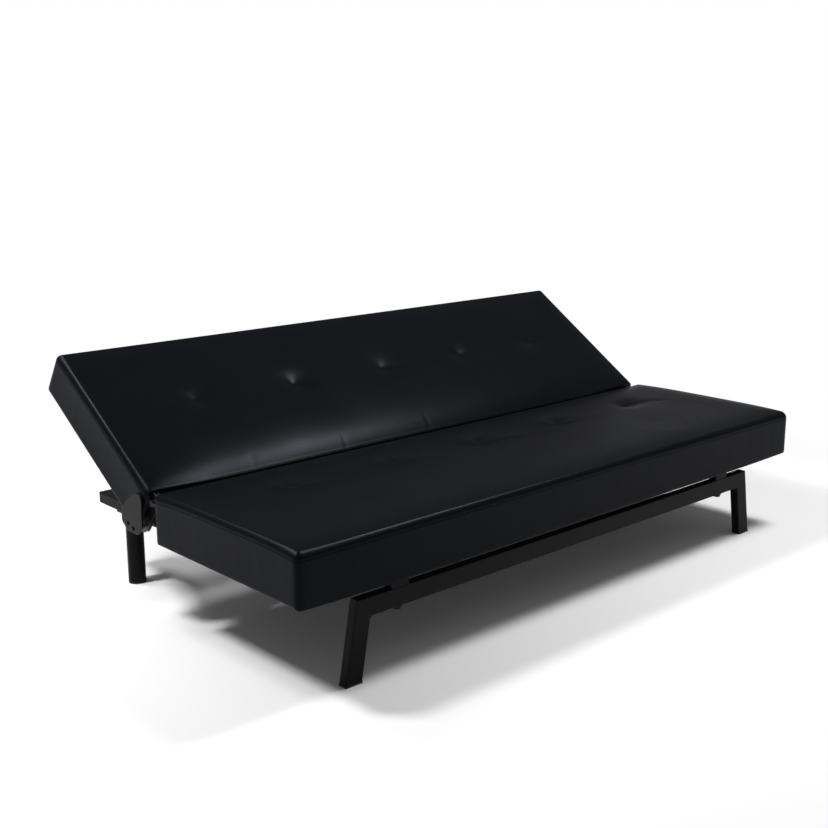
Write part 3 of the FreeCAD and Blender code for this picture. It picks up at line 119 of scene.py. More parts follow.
tree.links.new(one_sided.outputs[0], end.inputs["Surface"])
floor.data.materials.append(paper)

surround = bpy.data.worlds.new("white_surround")
bpy.context.scene.world = surround
surround.use_nodes = True
tree = surround.node_tree
sky = tree.nodes["Background"]
sky.inputs["Color"].default_value = (1, 1, 1, 1)
way = add(tree, "ShaderNodeTexCoord")
height = add(tree, "ShaderNodeSeparateXYZ")
wire(tree, way, "Generated", height, 0)
dome = add(tree, "ShaderNodeMapRange", From_Min=WALL_TOP, From_Max=WALL_TOP + WALL_FADE)
dome.inputs["To Min"].default_value = 1.0
dome.inputs["To Max"].default_value = CEILING_LIGHT
wire(tree, height, "Z", dome, "Value")
path = add(tree, "ShaderNodeLightPath")
direct = add(tree, "ShaderNodeMath", OPERATION="MAXIMUM")
wire(tree, path, "Is Camera Ray", direct, 0)
wire(tree, path, "Is Transmission Ray", direct, 1)
level = add(tree, "ShaderNodeMath", OPERATION="MAXIMUM")
wire(tree, dome, "Result", level, 0)
wire(tree, direct, "Value", level, 1)
wire(tree, level, "Value", sky, "Strength")


def soft_lamp(name, place, target, wide, high, power):
    data = bpy.data.lights.new(name, "AREA")
    data.shape = "RECTANGLE"
    data.size = wide
    data.size_y = high
    data.energy = power
    lamp = bpy.data.objects.new(name, data)
    bpy.context.scene.collection.objects.link(lamp)
    lamp.location = place
    lamp.rotation_euler = (Vector(target) - Vector(place)).to_track_quat("-Z", "Y").to_euler()


soft_lamp("front_right_lamp", (1.1, -0.75, 2.5), (0, 0, 0.35), wide=0.7, high=0.6, power=54)
soft_lamp("rear_left_lamp", (-1.45, 1.4, 2.35), (-0.2, 0, 0.35), wide=0.6, high=0.6, power=28)
soft_lamp("left_lamp", (-2.0, 0.65, 2.5), (-0.2, 0, 0.35), wide=0.4, high=0.4, power=58)

# The camera stands in front of the left end, a little over a metre up.
CAMERA_PLACE = (-2.2596, -2.3435, 1.1625)
CAMERA_TURN = 42.48
CAMERA_DOWN = 13.36
CAMERA_ROLL = -0.07
CAMERA_LENS = 53.16

lens = bpy.data.cameras.new("camera")
lens.lens = CAMERA_LENS
camera = bpy.data.objects.new("camera", lens)
bpy.context.scene.collection.objects.link(camera)
camera.matrix_world = (
    Matrix.Translation(CAMERA_PLACE)
    @ Matrix.Rotation(math.radians(-CAMERA_TURN), 4, "Z")
    @ Matrix.Rotation(math.radians(90 - CAMERA_DOWN), 4, "X")
    @ Matrix.Rotation(math.radians(CAMERA_ROLL), 4, "Z")
)
bpy.context.scene.camera = camera
bpy.context.scene.view_settings.view_transform = "Standard"


# Front frame
# Flat steel tube, 45 by 25 mm, mitred and welded, with spacer blocks above the bar. It is
# powder coated in satin black, which leaves a fine orange peel and thins out on the edges.

# The Mix node's colour sockets: its two inputs and its result.
COLOUR_A = 6
COLOUR_B = 7
COLOUR_OUT = 2

# How well a face's normal agrees with its rounded normal where wear begins and where it is full.
WEAR_BEGINS = 0.995
WEAR_FULL = 0.86


def shader_group(name, inputs, outputs):
    """An empty shader group with number inputs, given with their defaults, and number outputs."""
    group = bpy.data.node_groups.new(name, "ShaderNodeTree")
    for label, default in inputs.items():
        socket = group.interface.new_socket(label, in_out="INPUT", socket_type="NodeSocketFloat")
        socket.default_value = default
    for label in outputs:
        group.interface.new_socket(label, in_out="OUTPUT", socket_type="NodeSocketFloat")
    return group, add(group, "NodeGroupInput"), add(group, "NodeGroupOutput")


def place_group(tree, group, **values):
    node = tree.nodes.new("ShaderNodeGroup")
    node.node_tree = group
    for label, value in values.items():
        node.inputs[label.replace("_", " ")].default_value = value
    return node


def new_finish(name, colour, roughness, specular):
    """A material with its Principled shader's constants set, and its tree for the patterns."""
    material = bpy.data.materials.new(name)
    material.use_nodes = True
    tree = material.node_tree
    shader = tree.nodes["Principled BSDF"]
    shader.inputs["Base Color"].default_value = (*colour, 1)
    shader.inputs["Roughness"].default_value = roughness
    shader.inputs["Specular IOR Level"].default_value = specular
    return material, tree, shader


def blend_colour(tree, mask, output, dark, light, shader):
    """Base colour between two colours, by a mask."""
    mix = add(tree, "ShaderNodeMix", DATA_TYPE="RGBA")
    mix.inputs[COLOUR_A].default_value = (*dark, 1)
    mix.inputs[COLOUR_B].default_value = (*light, 1)
    tree.links.new(mask.outputs[output], mix.inputs[0])
    tree.links.new(mix.outputs[COLOUR_OUT], shader.inputs["Base Color"])


def bump(tree, source, output, shader, strength, height):
    relief = add(tree, "ShaderNodeBump", Strength=strength, Distance=height)
    wire(tree, source, output, relief, "Height")
    wire(tree, relief, "Normal", shader, "Normal")


def roughness_span(tree, source, output, shader, low, high):
    span = add(tree, "ShaderNodeMapRange", To_Min=low, To_Max=high)
    wire(tree, source, output, span, "Value")
    wire(tree, span, "Result", shader, "Roughness")


# Mottle: a broad tone, a fine relief and worn edges, used by every hard finish.
mottle, mottle_in, mottle_out = shader_group(
    "mottle", {"Scale": 60.0, "Fine Scale": 900.0, "Edge Width": 0.002}, ("Tone", "Relief", "Edge")
)
here = add(mottle, "ShaderNodeTexCoord")
broad = add(mottle, "ShaderNodeTexNoise", Detail=4.0)
wire(mottle, here, "Object", broad, "Vector")
wire(mottle, mottle_in, "Scale", broad, "Scale")
wire(mottle, broad, "Fac", mottle_out, "Tone")
fine = add(mottle, "ShaderNodeTexNoise", Detail=2.0)
wire(mottle, here, "Object", fine, "Vector")
wire(mottle, mottle_in, "Fine Scale", fine, "Scale")
wire(mottle, fine, "Fac", mottle_out, "Relief")
rounded = add(mottle, "ShaderNodeBevel", SAMPLES=4)
wire(mottle, mottle_in, "Edge Width", rounded, "Radius")
flat = add(mottle, "ShaderNodeNewGeometry")
agree = add(mottle, "ShaderNodeVectorMath", OPERATION="DOT_PRODUCT")
wire(mottle, rounded, "Normal", agree, 0)
wire(mottle, flat, "Normal", agree, 1)
turn = add(mottle, "ShaderNodeMapRange", From_Min=WEAR_BEGINS, From_Max=WEAR_FULL)
wire(mottle, agree, "Value", turn, "Value")
patchy = add(mottle, "ShaderNodeMath", OPERATION="MULTIPLY")
wire(mottle, turn, "Result", patchy, 0)
wire(mottle, broad, "Fac", patchy, 1)
wire(mottle, patchy, "Value", mottle_out, "Edge")


TONE_DRIFT = 0.2
SHEEN_DRIFT = 0.07
PAINT_BUMP = 0.25
PAINT_RELIEF = 0.0004


def painted(name, colour, edge_colour, roughness, specular, **values):
    """Paint or plating: its tone drifts a little and its edges are worn towards a second colour."""
    material, tree, shader = new_finish(name, colour, roughness, specular)
    pattern = place_group(tree, mottle, **values)
    drift = add(tree, "ShaderNodeMix", DATA_TYPE="RGBA")
    drift.inputs[COLOUR_A].default_value = (*((1 - TONE_DRIFT) * part for part in colour), 1)
    drift.inputs[COLOUR_B].default_value = (*((1 + TONE_DRIFT) * part for part in colour), 1)
    wire(tree, pattern, "Tone", drift, 0)
    worn = add(tree, "ShaderNodeMix", DATA_TYPE="RGBA")
    tree.links.new(drift.outputs[COLOUR_OUT], worn.inputs[COLOUR_A])
    worn.inputs[COLOUR_B].default_value = (*edge_colour, 1)
    wire(tree, pattern, "Edge", worn, 0)
    tree.links.new(worn.outputs[COLOUR_OUT], shader.inputs["Base Color"])
    roughness_span(tree, pattern, "Tone", shader, roughness - SHEEN_DRIFT, roughness + SHEEN_DRIFT)
    bump(tree, pattern, "Relief", shader, PAINT_BUMP, PAINT_RELIEF)
    return material, tree, shader


def finish_nodes(material, names):
    """Gives the frame's own pieces this finish."""
    for name in names:
        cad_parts[name].material_slots[0].material = material


frame_paint, _, _ = painted(
    "satin_frame_paint", (0.005, 0.0052, 0.0055), (0.02, 0.02, 0.021), 0.4, 0.06
)
finish_nodes(frame_paint, ["front_crossbar", "front_leg_left", "front_leg_right", "front_frame_welds",
                           "front_spacers"])


# Side rails and rear legs
# Flat tube rails, and round legs with a plate welded on top, all in the frame's paint.

finish_nodes(frame_paint, ["side_rail_left", "side_rail_right", "rear_leg_left", "rear_leg_right",
                           "rear_leg_plates"])


# Glides and end caps
# Moulded black plastic, pushed into the ends of the tubes.

black_plastic, _, _ = painted(
    "moulded_plastic", (0.009, 0.009, 0.0095), (0.02, 0.02, 0.02), 0.55, 0.3, Fine_Scale=1400.0
)
finish_nodes(black_plastic, ["front_leg_glides", "rear_leg_glides", "rail_end_caps"])


# Bolts, nuts and screws
# Zinc plated steel, a little dull, with brighter corners. Where they show, the plating is black.

zinc, _, zinc_shader = painted(
    "zinc_plate", (0.33, 0.335, 0.35), (0.6, 0.6, 0.61), 0.38, 0.5, Scale=220.0, Edge_Width=0.0006
)
zinc_shader.inputs["Metallic"].default_value = 1.0
finish_nodes(zinc, ["front_mount_nuts", "rail_bolts", "seat_arm_screws", "back_arm_screws", "pivot_bolts",
                    "pivot_bolt_nuts", "pawl_bolts", "pawl_bolt_nuts", "pawl_springs",
                    "hinge_cover_sleeves"])

black_zinc, _, zinc_shader = painted(
    "black_zinc_plate", (0.012, 0.012, 0.0125), (0.07, 0.07, 0.07), 0.36, 0.5, Scale=220.0, Edge_Width=0.0005
)
zinc_shader.inputs["Metallic"].default_value = 1.0
finish_nodes(black_zinc, ["front_mount_bolts", "front_mount_washers", "hinge_cover_screws"])


# Timber frames
# Sawn softwood, planed on the outside, screwed and glued inside both cushions.

GRAIN_LINES = 9.0

grain, grain_in, grain_out = shader_group("timber_grain", {"Scale": 14.0}, ("Tone", "Relief"))
here = add(grain, "ShaderNodeTexCoord")
stretch = add(grain, "ShaderNodeMapping", Scale=(0.12, 1.0, 1.0))
wire(grain, here, "Object", stretch, "Vector")
rings = add(grain, "ShaderNodeTexNoise", Detail=5.0, Distortion=0.6)
wire(grain, stretch, "Vector", rings, "Vector")
wire(grain, grain_in, "Scale", rings, "Scale")
bands = add(grain, "ShaderNodeMath", OPERATION="PINGPONG")
lines = add(grain, "ShaderNodeMath", OPERATION="MULTIPLY")
lines.inputs[1].default_value = GRAIN_LINES
wire(grain, rings, "Fac", lines, 0)
wire(grain, lines, "Value", bands, 0)
bands.inputs[1].default_value = 1.0
wire(grain, bands, "Value", grain_out, "Tone")
wire(grain, rings, "Fac", grain_out, "Relief")

timber, tree, shader = new_finish("softwood", (0.5, 0.34, 0.18), 0.62, 0.3)
pattern = place_group(tree, grain)
blend_colour(tree, pattern, "Tone", (0.42, 0.27, 0.13), (0.6, 0.44, 0.25), shader)
roughness_span(tree, pattern, "Tone", shader, 0.55, 0.7)
bump(tree, pattern, "Relief", shader, 0.3, 0.0006)
finish_nodes(timber, ["seat_front_rail", "seat_rear_rail", "seat_side_boards", "seat_cross_timbers",
                      "back_lower_rail", "back_upper_rail", "back_side_boards", "back_cross_timbers"])

hardboard, tree, shader = new_finish("hardboard", (0.16, 0.085, 0.04), 0.6, 0.3)
pattern = place_group(tree, mottle, Scale=180.0, Fine_Scale=1200.0)
blend_colour(tree, pattern, "Tone", (0.13, 0.07, 0.032), (0.2, 0.11, 0.055), shader)
bump(tree, pattern, "Relief", shader, 0.3, 0.0004)
finish_nodes(hardboard, ["seat_deck_panel", "back_deck_panel"])


# Seat cushion
# Foam over the timber frame in a boxed cover of soft black leather cloth, stapled under the frame. The
# top panel is sewn to the side band just under its rounded edge, and five ties pull tufts into the top.

leather_grain, leather_in, leather_out = shader_group(
    "leather_grain", {"Scale": 520.0, "Crumple Scale": 26.0}, ("Relief", "Tone", "Crumple")
)
here = add(leather_grain, "ShaderNodeTexCoord")
pebbles = add(leather_grain, "ShaderNodeTexVoronoi", FEATURE="SMOOTH_F1", Smoothness=0.6)
wire(leather_grain, here, "Object", pebbles, "Vector")
wire(leather_grain, leather_in, "Scale", pebbles, "Scale")
wire(leather_grain, pebbles, "Distance", leather_out, "Relief")
drift = add(leather_grain, "ShaderNodeTexNoise", Scale=5.0, Detail=5.0)
wire(leather_grain, here, "Object", drift, "Vector")
wire(leather_grain, drift, "Fac", leather_out, "Tone")
crumple = add(leather_grain, "ShaderNodeTexNoise", Detail=3.0)
wire(leather_grain, here, "Object", crumple, "Vector")
wire(leather_grain, leather_in, "Crumple Scale", crumple, "Scale")
wire(leather_grain, crumple, "Fac", leather_out, "Crumple")

leather, tree, shader = new_finish("black_leather_cloth", (0.0025, 0.0027, 0.0036), 0.34, 0.046)
shader.inputs["Specular Tint"].default_value = (0.75, 0.82, 1.0, 1)
pattern = place_group(tree, leather_grain)
blend_colour(tree, pattern, "Tone", (0.0025, 0.0027, 0.0036), (0.0042, 0.0045, 0.0058), shader)
roughness_span(tree, pattern, "Crumple", shader, 0.28, 0.37)
bump(tree, pattern, "Relief", shader, 0.12, 0.0005)

TOP_ROUND = 0.0145
TOP_PROFILE = 0.36
CORNER_ROUND = 0.015
UNDER_ROUND = 0.0035
PANEL_GRID = 0.012
TIGHT_EDGE = 0.45
FILLING = 4.0
SWELL = 0.005
CROWN = 0.0015
DRAWN_IN = 0.003
LUMP_HIGH = 0.0011
LUMPS_PER_METRE = 7.0
LUMP_SLICE = 0.5
PUCKER = 0.0002
PUCKERS_PER_METRE = 45.0
SEAM_DOWN = 0.018
SEAM_HALF = 0.0012
SEAM_DEEP = 0.0008
SEAM_SLACK = 1e-5
TUFT_WIDE = 0.036
TUFT_PIT = 0.013
TUFT_LONGER = 1.4
TUFT_WIDE_SHARE = 0.7
TUFT_PIT_SHARE = 0.3
RIDGE_SHARE = 0.4
RIDGE_ASIDE = 1.6
BELL_REACH = 4
FOLD_FADE = 4
SWELL_FRAMES = 20
LEAST_SHIFT = 1e-7
LEVEL_SLACK = 0.0001
UPRIGHT_EDGE = 0.01
HELD_BELOW_FACE = 0.0003
FACE_DEEP = 0.03
FACE_FADE = 0.02
ROLL_END_FREE = 0.035
ROLL_END_FADE = 0.22
ROLL_UP = 0.15
SAG_FROM = 0.93
SAG_FADE = 0.04
SAG_LESS_AT_ENDS = 0.5
SMOOTH_UP_TO = 50


def applied(piece, kind, **settings):
    """Adds a modifier and applies it."""
    bpy.context.view_layer.objects.active = piece
    finishing = piece.modifiers.new("finishing", kind)
    for name, value in settings.items():
        setattr(finishing, name, value)
    bpy.ops.object.modifier_apply(modifier=finishing.name)


def sized_cube(name, low, high):
    """A cube primitive stretched to fill the box between two corners."""
    bpy.ops.mesh.primitive_cube_add(size=1, location=(Vector(low) + Vector(high)) / 2)
    block = bpy.context.object
    block.name = name
    block.data.name = name
    bpy.ops.transform.resize(value=Vector(high) - Vector(low))
    bpy.ops.object.transform_apply(location=True, rotation=False, scale=True)
    return block


def round_edges(block, chosen, radius, steps, profile=0.5):
    """Bevels the edges whose two ends pass the test."""
    bpy.context.tool_settings.mesh_select_mode = (False, True, False)
    bpy.ops.object.mode_set(mode="EDIT")
    bpy.ops.mesh.select_all(action="DESELECT")
    bpy.ops.object.mode_set(mode="OBJECT")
    corners = block.data.vertices
    for edge in block.data.edges:
        edge.select = chosen(corners[edge.vertices[0]].co, corners[edge.vertices[1]].co)
    bpy.ops.object.mode_set(mode="EDIT")
    bpy.ops.mesh.bevel(offset=radius, segments=steps, profile=profile, affect="EDGES")
    bpy.ops.object.mode_set(mode="OBJECT")


def boxed_shape(name, low, high):
    """A block with rounded corners and edges, cut into small panels that can swell."""
    block = sized_cube(name, low, high)
    round_edges(block, lambda a, b: abs(a.z - b.z) > UPRIGHT_EDGE, CORNER_ROUND, 4)
    top = high[2] - LEVEL_SLACK
    round_edges(block, lambda a, b: min(a.z, b.z) > top, TOP_ROUND, 5, TOP_PROFILE)
    under = low[2] + LEVEL_SLACK
    round_edges(block, lambda a, b: max(a.z, b.z) < under, UNDER_ROUND, 2)
    spans = (
        (low[0] + CORNER_ROUND, high[0] - CORNER_ROUND),
        (low[1] + CORNER_ROUND, high[1] - CORNER_ROUND),
        (low[2] + UNDER_ROUND, high[2] - TOP_ROUND),
    )
    bpy.ops.object.mode_set(mode="EDIT")
    for axis, (start, end) in enumerate(spans):
        count = round((end - start) / PANEL_GRID)
        across = [0, 0, 0]
        across[axis] = 1
        for step in range(count + 1):
            at = [0, 0, 0]
            at[axis] = start + (end - start) * step / count
            bpy.ops.mesh.select_all(action="SELECT")
            bpy.ops.mesh.bisect(plane_co=at, plane_no=across)
    bpy.ops.object.mode_set(mode="OBJECT")
    return block


def eased(share):
    """A smooth rise from 0 to 1, level before and after."""
    share = min(max(share, 0.0), 1.0)
    return share * share * (3 - 2 * share)


def bell(distance, width):
    return math.exp(-((distance / width) ** 2))


def tuft_drop(x, y, tufts):
    """How far the tufts draw the face down at a point."""
    drop = 0.0
    for across, up, depth in tufts:
        away = math.hypot((x - across) / TUFT_LONGER, y - up)
        if away < BELL_REACH * TUFT_WIDE:
            wide_part = TUFT_WIDE_SHARE * bell(away, TUFT_WIDE)
            drop += depth * (wide_part + TUFT_PIT_SHARE * bell(away, TUFT_PIT))
    return drop


def fold_drop(x, y, folds):
    """How far folds dip at a point: each is a shallow groove with a low ridge along its left side."""
    drop = 0.0
    for (from_x, from_y), (to_x, to_y), depth, wide in folds:
        long = math.hypot(to_x - from_x, to_y - from_y)
        along = ((x - from_x) * (to_x - from_x) + (y - from_y) * (to_y - from_y)) / long
        aside = ((to_x - from_x) * (y - from_y) - (to_y - from_y) * (x - from_x)) / long
        if abs(aside) > BELL_REACH * wide or not 0 < along < long:
            continue
        fading = min(1.0, FOLD_FADE * along / long, FOLD_FADE * (1 - along / long))
        groove = bell(aside, wide) - RIDGE_SHARE * bell(aside - RIDGE_ASIDE * wide, wide)
        drop += depth * eased(fading) * groove
    return drop


def stuff(block, face, tufts):
    """Lets the filling swell the top panel between the side band and the tufts, and caps the swell."""
    held = block.vertex_groups.new(name="held")
    for vertex in block.data.vertices:
        x, y, z = vertex.co
        near_tuft = any(math.hypot(x - across, y - up) < TUFT_PIT for across, up, _ in tufts)
        if z < face - HELD_BELOW_FACE or near_tuft:
            held.add([vertex.index], 1.0, "REPLACE")
    start = [vertex.co.copy() for vertex in block.data.vertices]
    bpy.context.view_layer.objects.active = block
    filling = block.modifiers.new("filling", "CLOTH")
    filling.settings.quality = 4
    filling.settings.mass = 0.5
    filling.settings.tension_stiffness = 25
    filling.settings.compression_stiffness = 25
    filling.settings.shear_stiffness = 12
    filling.settings.bending_stiffness = 4
    filling.settings.use_pressure = True
    filling.settings.uniform_pressure_force = FILLING
    filling.settings.vertex_group_mass = "held"
    filling.settings.effector_weights.gravity = 0
    for step in range(1, SWELL_FRAMES + 1):
        bpy.context.scene.frame_set(step)
    swollen = block.evaluated_get(bpy.context.evaluated_depsgraph_get()).data
    moved = [vertex.co.copy() for vertex in swollen.vertices]
    block.modifiers.remove(filling)
    bpy.context.scene.frame_set(1)
    for vertex, first, last in zip(block.data.vertices, start, moved):
        shift = last - first
        if shift.length > LEAST_SHIFT:
            vertex.co = first + shift * (SWELL * math.tanh(shift.length / SWELL) / shift.length)


def fit_to(block, low, high):
    """Stretches the block a little, so that it fills its place from end to end and side to side."""
    places = [vertex.co for vertex in block.data.vertices]
    for axis in range(2):
        least = min(place[axis] for place in places)
        most = max(place[axis] for place in places)
        grow = (high[axis] - low[axis]) / (most - least)
        for place in places:
            place[axis] = low[axis] + (place[axis] - least) * grow


def settle(block, low, high, tufts, folds, pressed, lower_roll, front_sag, side_rise):
    """Crowns the top, draws the sides in between the corners, and adds tufts, lumps, folds and sag.

    The edge at the pressed end, low or high along Y, is tighter, where the cushions meet.
    """
    middle = (Vector(low) + Vector(high)) / 2
    half = (Vector(high) - Vector(low)) / 2
    edge = high[1] if pressed > 0 else low[1]
    for vertex in block.data.vertices:
        x, y, z = vertex.co
        from_edge = abs(y - edge)
        if from_edge < TOP_ROUND and z > high[2] - TOP_ROUND:
            y = vertex.co.y = edge - pressed * from_edge * TIGHT_EDGE
        across = (x - middle.x) / half.x
        along = (y - middle.y) / half.y
        up = eased((z - low[2]) / (2 * half.z))
        crown = (1 - abs(across) ** 5) * (1 - abs(along) ** 4)
        lump = noise.noise(Vector((x * LUMPS_PER_METRE, y * LUMPS_PER_METRE, LUMP_SLICE)))
        sink = CROWN * (1 - crown) - LUMP_HIGH * lump * crown
        near_face = eased((z - (high[2] - FACE_DEEP)) / FACE_FADE)
        sink += near_face * (tuft_drop(x, y, tufts) + fold_drop(x, y, folds))
        inside_ends = eased((high[0] - ROLL_END_FREE - abs(x)) / ROLL_END_FADE)
        sink += near_face * inside_ends * lower_roll * max(0.0, 1 - (y - low[1]) / ROLL_UP) ** 2
        vertex.co.z -= up * sink
        vertex.co.z += up * side_rise * (1 - along ** 4) * abs(across) ** 10
        near_front = eased((-along - SAG_FROM) / SAG_FADE) * (1 - up)
        vertex.co.z -= front_sag * near_front * (1 - SAG_LESS_AT_ENDS * across ** 6)
        band = math.sin(math.pi * min(max((z - low[2]) / (2 * half.z), 0.0), 1.0)) ** 0.5
        pucker = PUCKER * noise.noise(Vector((x, y, z / 4)) * PUCKERS_PER_METRE)
        vertex.co.x -= across * abs(across) ** 7 * band * (DRAWN_IN * (1 - along ** 4) + pucker)
        vertex.co.y -= along * abs(along) ** 5 * band * (DRAWN_IN * (1 - across ** 4) + pucker)


def sew_seam(block, height):
    """A sewn groove round the block at this height: three cuts, the middle one drawn in."""
    bpy.context.view_layer.objects.active = block
    bpy.ops.object.mode_set(mode="EDIT")
    for level in (height - SEAM_HALF, height, height + SEAM_HALF):
        bpy.ops.mesh.select_all(action="SELECT")
        bpy.ops.mesh.bisect(plane_co=(0, 0, level), plane_no=(0, 0, 1))
    bpy.ops.mesh.select_all(action="DESELECT")
    bpy.ops.object.mode_set(mode="OBJECT")
    for vertex in block.data.vertices:
        if abs(vertex.co.z - height) < SEAM_SLACK:
            inward = Vector((vertex.normal.x, vertex.normal.y, 0)).normalized()
            vertex.co -= inward * SEAM_DEEP


def cut_out(piece, low, high):
    """Cuts a box out of a closed piece."""
    tool = sized_cube("cutter", low, high)
    bpy.ops.object.select_all(action="DESELECT")
    applied(piece, "BOOLEAN", operation="DIFFERENCE", object=tool, solver="EXACT")
    bpy.data.objects.remove(tool)


def cushion(name, low, high, tufts, folds, pressed, lower_roll=0.0, front_sag=0.0, side_rise=0.0):
    block = boxed_shape(name, low, high)
    stuff(block, high[2], tufts)
    applied(block, "SUBSURF", levels=1, render_levels=1)
    fit_to(block, low, high)
    sew_seam(block, high[2] - SEAM_DOWN)
    settle(block, low, high, tufts, folds, pressed, lower_roll, front_sag, side_rise)
    return block


def covered(block):
    """Smooth, and finished in the leather cloth."""
    bpy.ops.object.select_all(action="DESELECT")
    bpy.context.view_layer.objects.active = block
    block.select_set(True)
    bpy.ops.object.shade_smooth_by_angle(angle=math.radians(SMOOTH_UP_TO))
    bpy.ops.object.select_all(action="DESELECT")
    block.data.materials.clear()
    block.data.materials.append(leather)


def tuft_row(up, depths):
    """Tufts set evenly about the middle: where each is across, how far up, and how deep."""
    return [((step - len(depths) // 2) * TUFT_STEP, up, depth) for step, depth in enumerate(depths)]


seat_low, seat_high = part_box("seat_cover")
TUFT_STEP = 0.31
SEAT_TUFT_BACK = 0.38
SEAT_TUFT_DEPTHS = (0.007, 0.006, 0.009, 0.010, 0.010)
FOLD_FROM = (0.01, -0.01)
FOLD_TO = (0.14, -0.06)
FOLD_SHARE = 0.12
FOLD_WIDE = 0.018
HEM = 0.045
HEM_DEEP = 0.0016
PIVOT = Vector((0, 0.060366, 0.31))
ARM_ROOM_IN = 0.866
ARM_ROOM_OUT = 0.886
ARM_ROOM_LONG = 0.18
ARM_ROOM_DEEP = 0.056
ARM_ROOM_OVER = 0.0002
COVER_FREE = 0.0005
UNDER_FREE = 0.0002
SEAT_REAR_PROUD = 0.003
CUT_PAST = 0.01

seat_tufts = tuft_row(seat_low.y + SEAT_TUFT_BACK, SEAT_TUFT_DEPTHS)
seat_folds = [
    ((x + FOLD_FROM[0], y + FOLD_FROM[1]), (x + FOLD_TO[0], y + FOLD_TO[1]), depth * FOLD_SHARE, FOLD_WIDE)
    for x, y, depth in seat_tufts
]
seat = cushion(
    "seat_cushion", (seat_low.x + COVER_FREE, seat_low.y, seat_low.z + UNDER_FREE),
    (seat_high.x - COVER_FREE, seat_high.y + SEAT_REAR_PROUD, seat_high.z), seat_tufts, seat_folds,
    pressed=1, front_sag=0.009, side_rise=0.007,
)
cut_out(seat, (seat_low.x + HEM, seat_low.y + HEM, seat_low.z - CUT_PAST),
        (seat_high.x - HEM, seat_high.y - HEM, seat_low.z + HEM_DEEP))
for side in (-1, 1):
    rooms = sorted((side * ARM_ROOM_IN, side * ARM_ROOM_OUT))
    cut_out(seat, (rooms[0], PIVOT.y - ARM_ROOM_LONG, PIVOT.z - ARM_ROOM_DEEP),
            (rooms[1], seat_high.y + CUT_PAST, PIVOT.z - ARM_ROOM_OVER))
covered(seat)
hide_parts("seat_cover", "seat_foam")
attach(seat, "root")


# Back cushion
# Made like the seat, with five tufts across its middle. It is modelled lying on its back in the
# hinge's own frame, and then tilted about the pivot to where it rests.

TILT = math.radians(33.5)
BACK_HALF = 0.9
BACK_FROM = 0.0035
BACK_TO = 0.4985
BACK_REAR = -0.0865
BACK_FACE = 0.0335
BACK_TUFT_UP = 0.2635
BACK_TUFT_DEPTHS = (0.005, 0.009, 0.006, 0.006, 0.005)
BACK_ROOM_IN = 0.8585
BACK_ROOM_BELOW = -0.02
BACK_ROOM_UP = 0.19
BACK_ROOM_REAR = -0.084
BACK_ROOM_FACE = 0.0262
BACK_MOUTH_REAR = -0.11
BACK_MOUTH_UP = 0.08
BACK_MOUTH_FACE = -0.08
TUFT_LINE_END = 0.82
TUFT_LINE_BELOW = 0.004
TUFT_LINE_DEEP = 0.0003
TUFT_LINE_WIDE = 0.009
LOW_FOLDS_AT = (-0.59, -0.30, 0.0)
LOW_FOLD_LEAN = 0.012
LOW_FOLD_TOP = 0.065
LOW_FOLD_DEEP = 0.0005
LOW_FOLD_WIDE = 0.006

back_tufts = tuft_row(BACK_TUFT_UP, BACK_TUFT_DEPTHS)
tuft_line = BACK_TUFT_UP - TUFT_LINE_BELOW
back_folds = [((-TUFT_LINE_END, tuft_line), (TUFT_LINE_END, tuft_line), TUFT_LINE_DEEP, TUFT_LINE_WIDE)]
back_folds += [
    ((x, BACK_FROM), (x + LOW_FOLD_LEAN, LOW_FOLD_TOP), LOW_FOLD_DEEP, LOW_FOLD_WIDE) for x in LOW_FOLDS_AT
]
back = cushion(
    "back_cushion", (-BACK_HALF + COVER_FREE, BACK_FROM, BACK_REAR),
    (BACK_HALF - COVER_FREE, BACK_TO, BACK_FACE), back_tufts, back_folds, pressed=-1, lower_roll=0.012,
)
cut_out(back, (-BACK_HALF + HEM, BACK_FROM + HEM, BACK_REAR - CUT_PAST),
        (BACK_HALF - HEM, BACK_TO - HEM, BACK_REAR + HEM_DEEP))
for side in (-1, 1):
    rooms = sorted((side * BACK_ROOM_IN, side * ARM_ROOM_OUT))
    cut_out(back, (rooms[0], BACK_ROOM_BELOW, BACK_ROOM_REAR), (rooms[1], BACK_ROOM_UP, BACK_ROOM_FACE))
    cut_out(back, (rooms[0], BACK_ROOM_BELOW, BACK_MOUTH_REAR), (rooms[1], BACK_MOUTH_UP, BACK_MOUTH_FACE))
covered(back)
back.data.transform(Matrix.Translation(PIVOT) @ Matrix.Rotation(TILT, 4, "X"))
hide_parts("back_cover", "back_foam")
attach(back, "back")


# Dust cloths
# Thin black cloth stretched over the underside of the seat and the rear of the back, just inside the
# cover's hem, where it is stapled to the timbers. It bellies a little between them.

dust_cloth, tree, shader = new_finish("dust_cloth", (0.012, 0.012, 0.012), 0.9, 0.1)
pattern = place_group(tree, mottle, Scale=400.0, Fine_Scale=1500.0)
blend_colour(tree, pattern, "Tone", (0.008, 0.008, 0.008), (0.018, 0.018, 0.018), shader)
bump(tree, pattern, "Relief", shader, 0.4, 0.0004)

CLOTH_INSET = 0.0005
CLOTH_BELLY = 0.0006
CLOTH_CREASE = 0.0002
CLOTH_SQUARES = (120, 34)
CREASES_ACROSS = 9
CREASES_ALONG = 40
CREASE_SLICE = 2.0
REAR_CLOTH_DEEP = 0.0012


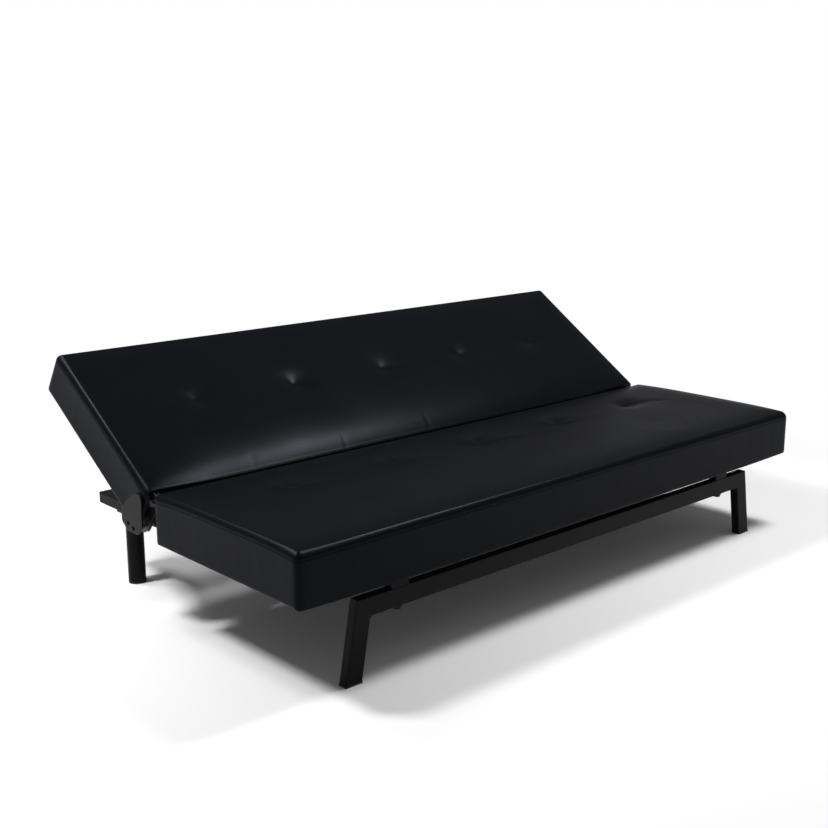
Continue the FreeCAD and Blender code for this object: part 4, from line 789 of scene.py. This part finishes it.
def stretched_cloth(name, low_x, high_x, low_y, high_y, level):
    """A cloth facing down, with a slight belly and fine creases."""
    bpy.ops.mesh.primitive_grid_add(
        x_subdivisions=CLOTH_SQUARES[0], y_subdivisions=CLOTH_SQUARES[1], size=1,
        location=((low_x + high_x) / 2, (low_y + high_y) / 2, level),
    )
    cloth = bpy.context.object
    cloth.name = name
    cloth.data.name = name
    bpy.ops.transform.resize(value=(high_x - low_x, high_y - low_y, 1))
    bpy.ops.object.transform_apply(location=True, rotation=False, scale=True)
    bpy.ops.object.mode_set(mode="EDIT")
    bpy.ops.mesh.select_all(action="SELECT")
    bpy.ops.mesh.flip_normals()
    bpy.ops.object.mode_set(mode="OBJECT")
    for vertex in cloth.data.vertices:
        x, y, z = vertex.co
        across = 2 * (x - low_x) / (high_x - low_x) - 1
        along = 2 * (y - low_y) / (high_y - low_y) - 1
        free = (1 - across ** 6) * (1 - along ** 4)
        crease = noise.noise(Vector((x * CREASES_ACROSS, y * CREASES_ALONG, CREASE_SLICE)))
        vertex.co.z -= free * (CLOTH_BELLY + CLOTH_CREASE * crease)
    bpy.ops.object.shade_smooth()
    bpy.ops.object.select_all(action="DESELECT")
    cloth.data.materials.append(dust_cloth)
    return cloth


cloth_low, cloth_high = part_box("seat_dust_cloth")
under_cloth = stretched_cloth(
    "under_cloth", cloth_low.x, cloth_high.x, cloth_low.y, cloth_high.y, cloth_high.z
)
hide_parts("seat_dust_cloth")
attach(under_cloth, "root")

rear_cloth = stretched_cloth(
    "rear_cloth", -BACK_HALF + HEM + CLOTH_INSET, BACK_HALF - HEM - CLOTH_INSET,
    BACK_FROM + HEM + CLOTH_INSET, BACK_TO - HEM - CLOTH_INSET, BACK_REAR + REAR_CLOTH_DEEP,
)
rear_cloth.data.transform(Matrix.Translation(PIVOT) @ Matrix.Rotation(TILT, 4, "X"))
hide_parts("back_dust_cloth")
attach(rear_cloth, "back")


# Tuft ties
# Waxed twine from each tuft down to the deck.

twine, tree, shader = new_finish("waxed_twine", (0.45, 0.38, 0.27), 0.6, 0.3)
pattern = place_group(tree, mottle, Scale=900.0, Fine_Scale=1500.0)
blend_colour(tree, pattern, "Tone", (0.38, 0.32, 0.22), (0.55, 0.47, 0.34), shader)
bump(tree, pattern, "Relief", shader, 0.4, 0.0004)
finish_nodes(twine, ["seat_tuft_ties", "back_tuft_ties"])


# Hinges
# Stamped steel arms, pawls and release rings, blackened, with worn bright edges.

hinge_steel, _, hinge_shader = painted(
    "blackened_steel", (0.05, 0.05, 0.052), (0.28, 0.28, 0.29), 0.4, 0.5, Scale=90.0, Edge_Width=0.001
)
hinge_shader.inputs["Metallic"].default_value = 0.9
finish_nodes(hinge_steel, ["seat_arm_left", "seat_arm_right", "back_arm_inner_left", "back_arm_inner_right",
                           "back_arm_outer_left", "back_arm_outer_right", "back_arm_spacers", "pawl_left",
                           "pawl_right", "release_ring_left", "release_ring_right"])


# Hinge covers
# Pressed steel shells in glossy black paint over the outside of each hinge.

cover_paint, _, _ = painted(
    "gloss_cover_paint", (0.006, 0.006, 0.0065), (0.03, 0.03, 0.03), 0.2, 0.08, Edge_Width=0.0012
)
finish_nodes(cover_paint, ["hinge_cover_left", "hinge_cover_right"])
